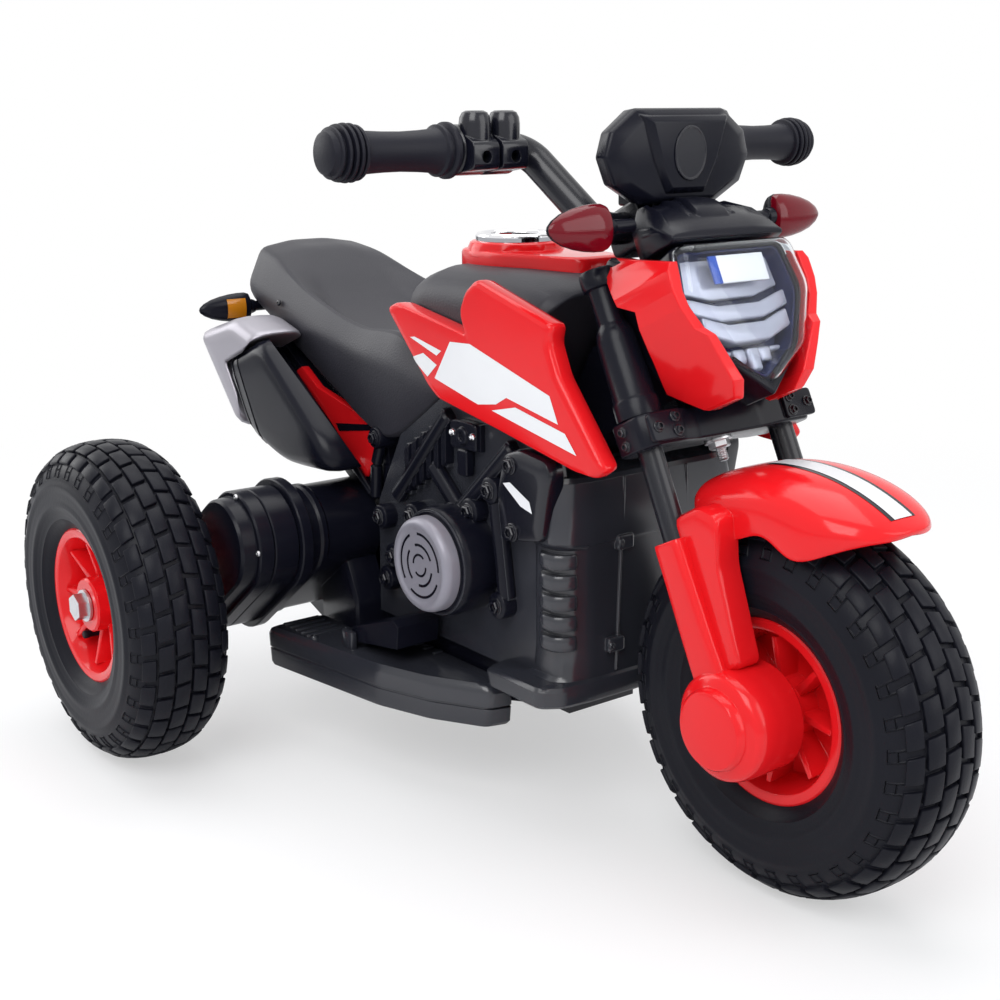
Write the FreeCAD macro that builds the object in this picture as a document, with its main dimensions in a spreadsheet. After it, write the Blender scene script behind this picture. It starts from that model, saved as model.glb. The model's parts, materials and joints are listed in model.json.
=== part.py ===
import FreeCAD, Part
import math
import os
import Sketcher
from FreeCAD import Placement, Rotation, Vector

os.makedirs("parts", exist_ok=True)
doc = FreeCAD.newDocument("kids_motorbike")

# Driving sizes in millimetres; angles are in degrees and counts are plain numbers.
# The frame runs along x with the nose towards plus x, the left side towards plus y and the floor at zero.
SIZES = {
    # wheels
    "wheelbase": 493, "rear_track": 516, "tyre_diameter": 260, "tyre_width": 86, "tyre_wall": 7,
    "tread_depth": 5, "tread_slot": 7, "tread_count": 26,
    "rim_diameter": 120, "rim_width": 62, "rim_well": 106, "rim_inner": 88, "rim_lip": 5.5,
    "hub_diameter": 44, "hub_width": 58, "web_thickness": 6, "web_rib": 3.5, "web_count": 9,
    "bush_diameter": 16, "axle_diameter": 12, "axle_overhang": 40, "nut_width": 19, "nut_height": 8,
    "washer_diameter": 26, "washer_height": 2.4,
    # the frame module that body outlines take their shares of
    "frame_length": 500, "frame_height": 400, "frame_half_width": 100,
    # fork module, measured from the front axle along and across the steering axis
    "rake": 25.8, "fork_length": 400, "fork_reach": 100, "fork_half_width": 100,
    "fork_spacing": 124, "stanchion_diameter": 17, "sleeve_diameter": 32, "stem_diameter": 22,
    "neck_diameter": 38, "neck_width": 48, "leg_width": 24, "drum_diameter": 74, "drum_reach": 80,
    "drum_cap_diameter": 48, "drum_cap_height": 4, "crown_width": 158, "crown_depth": 42,
    # bars
    "bar_diameter": 22, "bar_wall": 2.5, "bar_width": 436, "bar_bend": 15, "bar_drop": 78, "bar_lean": 69,
    "grip_diameter": 27,
    "grip_bulb": 34, "grip_flange": 38, "clamp_diameter": 34, "clamp_hole": 8,
    # drive
    "gear_module": 1.5, "drive_teeth": 44, "idler_pinion_teeth": 12, "idler_teeth": 40, "pinion_teeth": 10,
    "gear_tilt": 36.87, "gear_face": 10, "case_radius": 42, "case_inner": 150, "case_split": 172,
    "case_outer": 200, "case_step": 186, "case_flange": 5, "case_wall": 4, "idler_pin": 6,
    "motor_diameter": 36, "motor_length": 57,
    "shaft_diameter": 4, "drive_hub": 28, "boss_left_reach": 205, "boss_left_diameter": 68,
    # body
    "tray_half_width": 72, "shell_inner": 70, "shell_outer": 80, "tube_diameter": 12, "bolt_boss": 18,
    "disc_diameter": 72, "disc_inner": 110, "disc_outer": 124, "panel_bulge": 15,
    "cover_half_width": 80, "seat_wing": 7, "board_bottom": 63, "board_top": 97, "wall": 4,
    "bezel_diameter": 62, "bezel_width": 6, "bezel_height": 6, "console_height": 17, "panel_height": 3,
    "button_diameter": 13, "button_height": 11, "button_travel": 2, "rocker_length": 20, "rocker_width": 10,
    "rocker_pin": 3,
    "battery_length": 151, "battery_width": 65, "battery_height": 94,
    "board_length": 90, "board_width": 60, "board_height": 18,
    "socket_diameter": 22, "socket_depth": 16, "socket_bore": 6, "socket_bore_depth": 10, "socket_flap": 15,
    "socket_plate_length": 32, "socket_plate_height": 20,
    "pedal_width": 38, "pedal_pin": 7, "signal_diameter": 26, "stalk_diameter": 8,
    "fender_half_width": 49.5, "fender_wall": 4, "fender_reach": 57, "stay_width": 9,
    "lens_wall": 4, "muffler_inner": 74, "muffler_outer": 124, "edge_round": 10, "soft_round": 4,
    # fits
    "run_gap": 0.06, "slip_gap": 0.1, "free_gap": 0.5, "clear_gap": 1.5, "overrun": 60,
}


class Dim:
    """A size that carries its number and the sheet expression that drives it."""

    def __init__(self, number, text):
        self.number = number
        self.text = text

    def __add__(self, other):
        other = as_dim(other)
        return Dim(self.number + other.number, "(%s + %s)" % (self.text, other.text))

    def __sub__(self, other):
        other = as_dim(other)
        return Dim(self.number - other.number, "(%s - %s)" % (self.text, other.text))

    def __mul__(self, other):
        other = as_dim(other)
        return Dim(self.number * other.number, "(%s * %s)" % (self.text, other.text))

    def __truediv__(self, other):
        other = as_dim(other)
        return Dim(self.number / other.number, "(%s / %s)" % (self.text, other.text))

    def __neg__(self):
        return Dim(-self.number, "(0 - %s)" % self.text)

    __radd__ = __add__
    __rmul__ = __mul__


def as_dim(value):
    return value if isinstance(value, Dim) else Dim(float(value), "%.6g" % value)


def sine(angle):
    return Dim(math.sin(math.radians(angle.number)), "sin(%s)" % angle.text)


def cosine(angle):
    return Dim(math.cos(math.radians(angle.number)), "cos(%s)" % angle.text)


sheet = doc.addObject("Spreadsheet::Sheet", "Sizes")
for row, (alias, number) in enumerate(SIZES.items(), 1):
    sheet.set("A%d" % row, alias)
    sheet.set("B%d" % row, str(number))
    sheet.setAlias("B%d" % row, alias)
doc.recompute()


class Sizes:
    """Gives each sheet size by name."""

    def __getattr__(self, name):
        return Dim(float(SIZES[name]), "Sizes." + name)


S = Sizes()
ZERO = Dim(0.0, "0")
PARTS = {}


def new_body(label):
    body = doc.addObject("PartDesign::Body", label)
    body.Label = label
    PARTS[label] = body
    return body


def origin(body, role):
    return [f for f in body.Origin.OriginFeatures if f.Role == role][0]


def sketch_on(body, role, offset=None):
    """Put a sketch on an origin plane of its body, moved along the plane's normal by the offset."""
    sketch = body.newObject("Sketcher::SketchObject", body.Name + "_sketch")
    sketch.AttachmentSupport = [(origin(body, role), "")]
    sketch.MapMode = "FlatFace"
    if offset is not None:
        sketch.setExpression("AttachmentOffset.Base.z", offset.text)
    return sketch


def pin(sketch, geo, spot, point):
    """Hold one sketch point at a driven place."""
    for axis, dim in enumerate(point):
        if dim.number == 0:
            sketch.addConstraint(Sketcher.Constraint("PointOnObject", geo, spot, -2 if axis == 0 else -1))
        else:
            kind = "DistanceX" if axis == 0 else "DistanceY"
            index = sketch.addConstraint(Sketcher.Constraint(kind, geo, spot, dim.number))
            sketch.setExpression("Constraints[%d]" % index, dim.text)


def vec(point):
    return Vector(point[0].number, point[1].number, 0)


def near(sketch, geo, point):
    first, last = sketch.getPoint(geo, 1), sketch.getPoint(geo, 2)
    return 1 if (first - vec(point)).Length < (last - vec(point)).Length else 2


def draw_loose(sketch, path):
    """Draw a closed outline of straight lines whose corners are already worked out from the sizes."""
    corners = [vec(point) for point in path]
    sketch.addGeometry([Part.LineSegment(a, b) for a, b in zip(corners, corners[1:] + corners[:1])])
    return sketch


def trace(sketch, path, closed=True):
    """Draw an outline; an entry of four values is an arc to a corner through a middle point."""
    path = [tuple(as_dim(v) for v in entry) for entry in path]
    count = len(path)
    corners = [entry[:2] for entry in path]
    geos = []
    for step in range(count if closed else count - 1):
        here, there = corners[step], path[(step + 1) % count]
        if len(there) == 4:
            curve = Part.Arc(vec(here), vec(there[2:]), vec(there[:2]))
        else:
            curve = Part.LineSegment(vec(here), vec(there[:2]))
        geos.append(sketch.addGeometry(curve))
    for step, geo in enumerate(geos):
        after = (step + 1) % len(geos)
        corner = corners[(step + 1) % count]
        if closed or step + 1 < len(geos):
            sketch.addConstraint(Sketcher.Constraint(
                "Coincident", geo, near(sketch, geo, corner), geos[after], near(sketch, geos[after], corner)))
        pin(sketch, geo, near(sketch, geo, corners[step]), corners[step])
    if not closed:
        pin(sketch, geos[-1], near(sketch, geos[-1], corners[-1]), corners[-1])
    for step, geo in enumerate(geos):
        entry = path[(step + 1) % count]
        if len(entry) == 4:
            spot = sketch.addGeometry(Part.Point(vec(entry[2:])), True)
            sketch.addConstraint(Sketcher.Constraint("PointOnObject", spot, 1, geo))
            pin(sketch, spot, 1, entry[2:])
    return sketch


def ring(sketch, across, along, radius):
    centre = (as_dim(across), as_dim(along))
    geo = sketch.addGeometry(Part.Circle(vec(centre), Vector(0, 0, 1), radius.number))
    index = sketch.addConstraint(Sketcher.Constraint("Radius", geo, radius.number))
    sketch.setExpression("Constraints[%d]" % index, radius.text)
    pin(sketch, geo, 3, centre)
    return sketch


def block(sketch, low, high):
    (a, b), (c, d) = low, high
    return trace(sketch, [(a, b), (c, b), (c, d), (a, d)])


def feature(body, kind, sketch, **driven):
    made = body.newObject("PartDesign::" + kind, body.Name + "_" + kind.lower())
    made.Profile = sketch
    for prop, dim in driven.items():
        made.setExpression(prop, dim.text)
    body.Tip = made
    return made


def pad(body, sketch, length, both=False, back=False):
    made = feature(body, "Pad", sketch, Length=length)
    made.SideType = "Symmetric" if both else "One side"
    made.Reversed = back
    return made


def pocket(body, sketch, length, both=False, back=False):
    made = feature(body, "Pocket", sketch, Length=length)
    made.SideType = "Symmetric" if both else "One side"
    made.Reversed = back
    return made


def revolve(body, sketch, role, angle=None):
    made = feature(body, "Revolution", sketch)
    made.ReferenceAxis = (origin(body, role), [""])
    if angle is not None:
        made.setExpression("Angle", angle.text)
        made.Midplane = True
    return made


def loft(body, sections, cut=False, ruled=True):
    made = feature(body, "SubtractiveLoft" if cut else "AdditiveLoft", sections[0])
    made.Sections = sections[1:]
    made.Ruled = ruled
    return made


def polar(body, originals, role, count):
    made = body.newObject("PartDesign::PolarPattern", body.Name + "_polar")
    made.Originals = originals
    made.Axis = (origin(body, role), [""])
    made.setExpression("Occurrences", count.text)
    body.Tip = made
    return made


def mirror(body, originals):
    made = body.newObject("PartDesign::Mirrored", body.Name + "_mirrored")
    made.Originals = originals
    made.MirrorPlane = (origin(body, "XZ_Plane"), [""])
    body.Tip = made
    return made


def soften(body, picker, radius):
    """Round the edges of the body that the picker accepts."""
    doc.recompute()
    tip = body.Tip
    names = ["Edge%d" % (n + 1) for n, edge in enumerate(tip.Shape.Edges) if picker(edge)]
    made = body.newObject("PartDesign::Fillet", body.Name + "_fillet")
    made.Base = (tip, names)
    made.setExpression("Radius", radius.text)
    body.Tip = made
    return made


def twin(label, source):
    """The left piece is the right one mirrored across the middle plane."""
    made = doc.addObject("Part::Mirroring", label)
    made.Label = label
    made.Source = source
    made.Normal = Vector(0, 1, 0)
    PARTS[label] = made
    return made


def move_to(body, x=None, y=None, z=None):
    for axis, dim in (("x", x), ("y", y), ("z", z)):
        if dim is not None:
            body.setExpression("Placement.Base." + axis, dim.text)
    return body


def ride_fork(body):
    """Stand a body built along the steering axis on the front axle, leaned back by the rake."""
    move_to(body, x=S.wheelbase / 2, z=S.tyre_diameter / 2)
    body.Placement = Placement(Vector(0, 0, 0), Rotation(Vector(0, -1, 0), SIZES["rake"]))
    body.setExpression("Placement.Rotation.Angle", S.rake.text)
    return body


def side_path(shares):
    """Side view outline from shares of the frame length and frame height."""
    return [tuple(S.frame_length * v if n % 2 == 0 else S.frame_height * v for n, v in enumerate(entry))
            for entry in shares]


def fork_path(shares):
    """Side view outline from shares of the fork reach and fork length."""
    return [tuple(S.fork_reach * v if n % 2 == 0 else S.fork_length * v for n, v in enumerate(entry))
            for entry in shares]


def along_y(edge):
    return edge.Curve.TypeId == "Part::GeomLine" and abs(edge.tangentAt(edge.FirstParameter).y) > 0.99


def along_z(edge):
    return edge.Curve.TypeId == "Part::GeomLine" and abs(edge.tangentAt(edge.FirstParameter).z) > 0.99


# Wheels: each is turned about the y axis at the origin and then moved to its place.
axle_height = S.tyre_diameter / 2
wheel_y = S.rear_track / 2
tread_radius = S.tyre_diameter / 2
half_tyre = S.tyre_width / 2
well_radius = S.rim_well / 2
bead_radius = well_radius + S.slip_gap
bead_outer = S.rim_width / 2 - S.rim_lip - S.slip_gap
shoulder_radius = tread_radius * 0.945
shoulder_half = half_tyre * 0.80
belly_radius = tread_radius * 0.73
lip_radius = S.rim_diameter / 2 + S.free_gap
crown_inner = tread_radius - S.tread_depth - S.tyre_wall


def make_tyre(label):
    body = new_body(label)
    inner_shoulder = (shoulder_radius - S.tyre_wall, shoulder_half - S.tyre_wall)
    profile = trace(sketch_on(body, "XY_Plane"), [
        (bead_radius, bead_outer), (lip_radius, bead_outer),
        (shoulder_radius, shoulder_half, belly_radius, half_tyre),
        (shoulder_radius, -shoulder_half, tread_radius, ZERO),
        (lip_radius, -bead_outer, belly_radius, -half_tyre), (bead_radius, -bead_outer),
        (bead_radius, S.tyre_wall - bead_outer), (lip_radius, S.tyre_wall - bead_outer),
        (inner_shoulder[0], -inner_shoulder[1], belly_radius, S.tyre_wall - half_tyre),
        (inner_shoulder[0], inner_shoulder[1], crown_inner, ZERO),
        (lip_radius, bead_outer - S.tyre_wall, belly_radius, half_tyre - S.tyre_wall),
        (bead_radius, bead_outer - S.tyre_wall),
    ])
    revolve(body, profile, "Y_Axis")
    # tread slots, staggered between the two shoulders
    half_slot = S.tread_slot / 2
    pitch = tread_radius * (2 * math.pi) / S.tread_count
    slots = sketch_on(body, "YZ_Plane", tread_radius - S.tread_depth)
    block(slots, (half_tyre * 0.16, -half_slot), (half_tyre, half_slot))
    block(slots, (-half_tyre, pitch / 2 - half_slot), (-half_tyre * 0.16, pitch / 2 + half_slot))
    cut = pocket(body, slots, S.overrun, back=True)
    polar(body, [cut], "Y_Axis", S.tread_count)
    return body


def make_rim(label):
    body = new_body(label)
    bore = S.bush_diameter / 2 + S.run_gap
    hub, inner = S.hub_diameter / 2, S.rim_inner / 2
    half_hub, half_web, half_rim = S.hub_width / 2, S.web_thickness / 2, S.rim_width / 2
    lip = half_rim - S.rim_lip
    upper = [(hub, half_hub), (hub, half_web), (inner - S.rim_lip, half_web), (inner, half_rim),
             (S.rim_diameter / 2, half_rim), (S.rim_diameter / 2, lip), (well_radius, lip)]
    lower = [(r, -y) for r, y in reversed(upper)]
    profile = trace(sketch_on(body, "XY_Plane"), [(bore, half_hub)] + upper + lower + [(bore, -half_hub)])
    revolve(body, profile, "Y_Axis")
    half_rib = S.web_rib / 2
    rib = block(sketch_on(body, "XZ_Plane"), (hub - S.rim_lip, -half_rib), (inner - S.rim_lip / 2, half_rib))
    made = pad(body, rib, S.rim_width * 0.78, both=True)
    polar(body, [made], "Y_Axis", S.web_count)
    return body


for name, x_dim, y_dim in (("front", S.wheelbase / 2, None), ("rear_right", -S.wheelbase / 2, -wheel_y),
                           ("rear_left", -S.wheelbase / 2, wheel_y)):
    kind, _, side = name.partition("_")
    ending = "_" + side if side else ""
    move_to(make_tyre(kind + "_tyre" + ending), x_dim, y_dim, axle_height)
    move_to(make_rim(kind + "_rim" + ending), x_dim, y_dim, axle_height)


# Rear axle with its nuts, and the bushes that the rear rims turn on.
def turned(label, profile, x_dim=None, y_dim=None, z_dim=None):
    body = new_body(label)
    revolve(body, trace(sketch_on(body, "XY_Plane"), profile), "Y_Axis")
    return move_to(body, x_dim, y_dim, z_dim)


axle_radius = S.axle_diameter / 2
axle_end = wheel_y + S.axle_overhang
turned("rear_axle", [(ZERO, -axle_end), (axle_radius, -axle_end), (axle_radius, axle_end), (ZERO, axle_end)],
       -S.wheelbase / 2, None, axle_height)

bush_radius = S.bush_diameter / 2
bush_half = S.hub_width / 2 + S.free_gap
bushes = new_body("wheel_bushes")
spot = sketch_on(bushes, "XZ_Plane", wheel_y - bush_half)
ring(spot, ZERO, ZERO, bush_radius)
ring(spot, ZERO, ZERO, axle_radius + S.run_gap)
mirror(bushes, [pad(bushes, spot, bush_half * 2)])
move_to(bushes, -S.wheelbase / 2, None, axle_height)

nuts = new_body("axle_nuts")
washer_start = wheel_y + bush_half
spot = sketch_on(nuts, "XZ_Plane", washer_start)
ring(spot, ZERO, ZERO, S.washer_diameter / 2)
ring(spot, ZERO, ZERO, axle_radius + S.run_gap)
washer = pad(nuts, spot, S.washer_height)
spot = sketch_on(nuts, "XZ_Plane", washer_start + S.washer_height)
corner_radius = S.nut_width / math.sqrt(3)
trace(spot, [(corner_radius * math.cos(math.radians(60 * n + 30)),
              corner_radius * math.sin(math.radians(60 * n + 30)))
             for n in range(6)])
ring(spot, ZERO, ZERO, axle_radius + S.run_gap)
nut = pad(nuts, spot, S.nut_height)
mirror(nuts, [washer, nut])
move_to(nuts, -S.wheelbase / 2, None, axle_height)

# The front axle is thicker inside the hub, where the front rim runs on it.
front_shoulder = S.hub_width / 2 + S.free_gap
front_end = S.drum_reach - S.clear_gap
turned("front_axle", [
    (ZERO, -front_end), (axle_radius, -front_end), (axle_radius, -front_shoulder),
    (bush_radius, -front_shoulder),
    (bush_radius, front_shoulder), (axle_radius, front_shoulder), (axle_radius, front_end),
    (ZERO, front_end)],
    S.wheelbase / 2, None, axle_height)


# Fork pieces, built upright along the steering axis: x is reach, z is height above the front axle.
def up(share):
    return S.fork_length * share


def out(share):
    return S.fork_reach * share


leg_y = S.fork_spacing / 2
stanchion_radius = S.stanchion_diameter / 2
stem_radius = S.stem_diameter / 2
leg_half = S.leg_width / 2
crown_low, crown_high = up(0.455), up(0.512)
sleeve_low, sleeve_high = crown_high, up(0.71)
leg_top, tube_low = up(0.305), up(0.11)
neck_low, neck_high = crown_high + S.clear_gap, up(0.715)
head_low, head_high = up(0.805), up(0.885)
bar_reach, bar_up = out(-0.08), up(0.8475)

tubes = new_body("fork_tubes")
spot = ring(sketch_on(tubes, "XY_Plane", tube_low), ZERO, -leg_y, stanchion_radius)
mirror(tubes, [pad(tubes, spot, sleeve_high - tube_low)])
ride_fork(tubes)

sleeves = new_body("fork_sleeves")
# each sleeve is turned with a step at its foot and a rolled lip at its top
sleeve_radius = S.sleeve_diameter / 2
sleeve_step = S.soft_round / 2
spot = sketch_on(sleeves, "XY_Plane", sleeve_low)
ring(spot, ZERO, -leg_y, sleeve_radius)
ring(spot, ZERO, -leg_y, stanchion_radius + S.slip_gap)
barrel = pad(sleeves, spot, sleeve_high - sleeve_low)
spot = sketch_on(sleeves, "XY_Plane", sleeve_low)
ring(spot, ZERO, -leg_y, sleeve_radius + sleeve_step)
ring(spot, ZERO, -leg_y, stanchion_radius + S.slip_gap)
collar = pad(sleeves, spot, S.edge_round * 1.6)
mirror(sleeves, [barrel, collar])
ride_fork(sleeves)

legs = new_body("fork_legs")
leg_inner = leg_y - leg_half
spot = trace(sketch_on(legs, "XZ_Plane", leg_inner), [
    (-leg_half * 1.15, ZERO), (leg_half * 1.15, ZERO), (leg_half, leg_top), (-leg_half, leg_top)])
blade = pad(legs, spot, S.leg_width)
drum_start = S.hub_width / 2 + S.clear_gap * 2
spot = ring(sketch_on(legs, "XZ_Plane", drum_start), ZERO, ZERO, S.drum_diameter / 2)
drum = pad(legs, spot, S.drum_reach - drum_start)
spot = ring(sketch_on(legs, "XZ_Plane", S.drum_reach), ZERO, ZERO, S.drum_cap_diameter / 2)
cap = pad(legs, spot, S.drum_cap_height)
# blind bores for the axle end and the fork tube
spot = ring(sketch_on(legs, "XZ_Plane", drum_start), ZERO, ZERO, axle_radius + S.run_gap)
axle_bore = pocket(legs, spot, S.drum_reach - drum_start, back=True)
spot = ring(sketch_on(legs, "XY_Plane", tube_low), ZERO, -leg_y, stanchion_radius + S.slip_gap)
tube_bore = pocket(legs, spot, leg_top - tube_low, back=True)
mirror(legs, [blade, drum, cap, axle_bore, tube_bore])
ride_fork(legs)

crown = new_body("fork_crown")
half_crown, crown_reach = S.crown_width / 2, S.crown_depth / 2
plan_shares = ((-1, -0.55), (-0.78, -1), (-0.35, -0.8), (0.35, -0.8), (0.78, -1), (1, -0.55),
               (1, 0.55), (0.78, 1), (0.35, 0.8), (-0.35, 0.8), (-0.78, 1), (-1, 0.55))
spot = trace(sketch_on(crown, "XY_Plane", crown_low),
             [(crown_reach * reach, half_crown * wide) for wide, reach in plan_shares])
pad(crown, spot, crown_high - crown_low)
spot = sketch_on(crown, "XY_Plane", crown_low)
for side in (-1, 1):
    ring(spot, ZERO, leg_y * side, stanchion_radius + S.slip_gap)
ring(spot, ZERO, ZERO, stem_radius + S.slip_gap)
pocket(crown, spot, crown_high - crown_low, back=True)
ride_fork(crown)

stem = new_body("steering_stem")
stem_foot = crown_low - S.nut_height
pad(stem, ring(sketch_on(stem, "XY_Plane", stem_foot), ZERO, ZERO, stem_radius), head_low - stem_foot)
head_half = S.neck_diameter / 2
spot = trace(sketch_on(stem, "XZ_Plane"), [
    (bar_reach - head_half, head_low), (stem_radius, head_low), (stem_radius, head_high),
    (bar_reach - head_half, head_high)])
pad(stem, spot, S.neck_diameter, both=True)
spot = ring(sketch_on(stem, "XZ_Plane"), bar_reach, bar_up, S.bar_diameter / 2 + S.run_gap)
pocket(stem, spot, S.neck_diameter + S.overrun, both=True)
# the foot below the crown carries the nut
foot = trace(sketch_on(stem, "XY_Plane", stem_foot), [
    (corner_radius * math.cos(math.radians(60 * n)) * 1.25,
     corner_radius * math.sin(math.radians(60 * n)) * 1.25)
    for n in range(6)])
pad(stem, foot, S.nut_height)
ride_fork(stem)

# Handlebar: one bent tube in a plane that holds the grips' line and the clamped middle.
bar_half = S.bar_width / 2
grip_reach = bar_reach - S.bar_drop * cosine(S.bar_lean)
grip_up = bar_up + S.bar_drop * sine(S.bar_lean)
bar = new_body("handlebar")
inner_y, outer_y = S.fork_half_width * 0.42, S.fork_half_width * 0.60


def bend(corner, before, after):
    """Start, end and middle of a round bend that leaves both legs without a kink."""
    ways = []
    for other in (before, after):
        step = [o.number - c.number for o, c in zip(other, corner)]
        ways.append([v / math.hypot(*step) for v in step])
    half_angle = math.acos(sum(a * b for a, b in zip(*ways))) / 2
    middle_share = 1 / (2 + 2 * math.sin(half_angle))
    start, end = ([c + S.bar_bend * v for c, v in zip(corner, way)] for way in ways)
    middle = [c + S.bar_bend * ((a + b) * middle_share) for c, a, b in zip(corner, *ways)]
    return tuple(start), tuple(end), tuple(middle)


spine = sketch_on(bar, "XY_Plane")
tops = [(ZERO, -outer_y - S.bar_drop), (ZERO, -outer_y), (S.bar_drop, -inner_y), (S.bar_drop, inner_y),
        (ZERO, outer_y), (ZERO, outer_y + S.bar_drop)]
path = [(ZERO, -bar_half)]
for n in range(1, 5):
    before, corner, after = tops[n - 1], tops[n], tops[n + 1]
    first, last, middle = bend(corner, before, after)
    path.append(first)
    path.append(last + middle)
path.append((ZERO, bar_half))
trace(spine, path, closed=False)
section = sketch_on(bar, "XZ_Plane", bar_half)
ring(section, ZERO, ZERO, S.bar_diameter / 2)
ring(section, ZERO, ZERO, S.bar_diameter / 2 - S.bar_wall)
sweep = feature(bar, "AdditivePipe", section)
sweep.Spine = spine
lean_sin, lean_cos = sine(S.rake), cosine(S.rake)
grip_x = S.wheelbase / 2 + grip_reach * lean_cos - grip_up * lean_sin
grip_z = axle_height + grip_reach * lean_sin + grip_up * lean_cos
bar.Placement = Placement(Vector(0, 0, 0), Rotation(Vector(0, 1, 0), SIZES["bar_lean"] - SIZES["rake"]))
bar.setExpression("Placement.Rotation.Angle", (S.bar_lean - S.rake).text)
move_to(bar, grip_x, None, grip_z)

# Grips, with a bulb at the outer end and a flange at the inner end.
grips = new_body("grips")
grip_inner, grip_outer = S.fork_half_width * 1.25, bar_half + S.wall
grip_r, bulb_r, flange_r = S.grip_diameter / 2, S.grip_bulb / 2, S.grip_flange / 2
bore_r = S.bar_diameter / 2 + S.slip_gap
bulb_start = grip_outer - S.grip_bulb
flange_end = grip_inner + S.wall
profile = trace(sketch_on(grips, "XY_Plane"), [
    (bore_r, -grip_inner), (flange_r, -grip_inner), (flange_r, -flange_end), (grip_r, -flange_end - S.wall),
    (grip_r, -bulb_start), (bulb_r, S.grip_bulb / 2 - grip_outer + S.wall),
    (bulb_r, S.grip_bulb / 4 - grip_outer),
    (grip_r, -grip_outer), (ZERO, -grip_outer), (ZERO, -bar_half - S.free_gap),
    (bore_r, -bar_half - S.free_gap)])
mirror(grips, [revolve(grips, profile, "Y_Axis")])
move_to(grips, grip_x, None, grip_z)

# Clamp collars between grip and bend, each with two lugs that carry a blind hole and a round tower.
clamps = new_body("bar_clamps")
clamp_r = S.clamp_diameter / 2
collar_start, collar_width = S.fork_half_width * 0.76, S.fork_half_width * 0.48
collar = pad(clamps, ring(sketch_on(clamps, "XZ_Plane", collar_start), ZERO, ZERO, clamp_r), collar_width)
lug_features = [collar]
lug_span_shares = ((0.765, 0.985), (1.01, 1.225))
for near_share, far_share in lug_span_shares:
    lug_start, lug_width = S.fork_half_width * near_share, S.fork_half_width * (far_share - near_share)
    ear = trace(sketch_on(clamps, "XZ_Plane", lug_start), [
        (clamp_r * 0.2, -clamp_r * 0.9), (clamp_r * 1.5, -clamp_r * 0.7), (clamp_r * 1.5, clamp_r * 0.3),
        (clamp_r * 0.2, clamp_r * 0.9)])
    lug_features.append(pad(clamps, ear, lug_width))
    tower = ring(sketch_on(clamps, "XY_Plane"), clamp_r * 0.7, -(lug_start + lug_width / 2), lug_width / 2)
    lug_features.append(pad(clamps, tower, clamp_r * 1.5))
through = ring(sketch_on(clamps, "XZ_Plane", collar_start), ZERO, ZERO, bore_r)
lug_features.append(pocket(clamps, through, collar_width, back=True))
for near_share, far_share in lug_span_shares:
    hole = ring(sketch_on(clamps, "YZ_Plane", bore_r + S.soft_round / 2),
                -S.fork_half_width * ((near_share + far_share) / 2), -clamp_r * 0.25, S.clamp_hole / 2)
    lug_features.append(pocket(clamps, hole, S.overrun, back=True))
mirror(clamps, lug_features)
move_to(clamps, grip_x, None, grip_z)

# Bar pod: an upright shield with a raised middle panel and a plain oval place for a badge.
def leaned(reach, height):
    """A point of the leaned fork, seen upright from the front axle."""
    return reach * lean_cos - height * lean_sin, reach * lean_sin + height * lean_cos


pod = new_body("bar_pod")
pod_outline_shares = ((0.40, 0.808), (0.62, 0.84), (0.67, 0.872), (0.61, 0.91), (0.385, 0.945))
pod_mid_share = 0.872


def pod_section(reach_share, wide_share, tall_share):
    """The pod's outline at one reach, drawn in by the two shares."""
    half = [(S.fork_half_width * (wide * wide_share), up(pod_mid_share + (tall - pod_mid_share) * tall_share))
            for wide, tall in pod_outline_shares]
    outline = half + [(-wide, tall) for wide, tall in reversed(half)]
    return trace(sketch_on(pod, "YZ_Plane", out(reach_share)), outline)


loft(pod, [pod_section(-1.53, 0.66, 0.72), pod_section(-1.34, 0.95, 0.96), pod_section(-1.21, 1.0, 1.0),
           pod_section(-1.14, 0.84, 0.88)])
pod_face = out(-1.14)
middle_panel = trace(sketch_on(pod, "YZ_Plane", pod_face - S.wall), [
    (S.fork_half_width * wide, up(tall))
    for wide, tall in ((-0.30, 0.825), (0.30, 0.825), (0.33, 0.87), (0.24, 0.925), (-0.24, 0.925),
                       (-0.33, 0.87))])
pad(pod, middle_panel, S.wall * 1.6)
badge = sketch_on(pod, "YZ_Plane", pod_face)
ring(badge, ZERO, up(0.874), S.clamp_diameter * 0.4)
pad(pod, badge, S.wall)
# a foot under the pod stands on the stem head
foot = trace(sketch_on(pod, "XZ_Plane"), [
    leaned(bar_reach - head_half / 2, head_high), leaned(stem_radius * 0.9, head_high),
    (out(-1.36), up(0.85)),
    (out(-1.52), up(0.86))])
pad(pod, foot, S.neck_diameter * 0.8, both=True)
move_to(pod, S.wheelbase / 2, None, axle_height)

# Dash cover: a wedge from the pod down to the top of the lens.
dash = new_body("dash_cover")
dash_shares = ((0.14, 0.775), (0.14, 0.852), (0.24, 0.858), (0.44, 0.832), (0.655, 0.762), (0.63, 0.7505),
               (0.2, 0.7505))
pad(dash, trace(sketch_on(dash, "XZ_Plane"), fork_path(dash_shares)), S.fork_half_width * 1.06, both=True)
soften(dash, lambda e: not along_y(e) and abs(e.CenterOfMass.y) > 52 and e.CenterOfMass.z > 312,
       S.edge_round * 0.6)
ride_fork(dash)

# Headlamp: housing behind, dish with bars, clear lens in front; all follow one shield outline.
shield_shares = ((-0.51, 0.748), (-0.575, 0.66), (-0.36, 0.555), (0.0, 0.50), (0.36, 0.555), (0.575, 0.66),
                 (0.51, 0.748))
shield_low = 0.64


def shield(scale_share):
    return [(S.fork_half_width * (wide * scale_share), up(shield_low + (tall - shield_low) * scale_share))
            for wide, tall in shield_shares]


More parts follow.
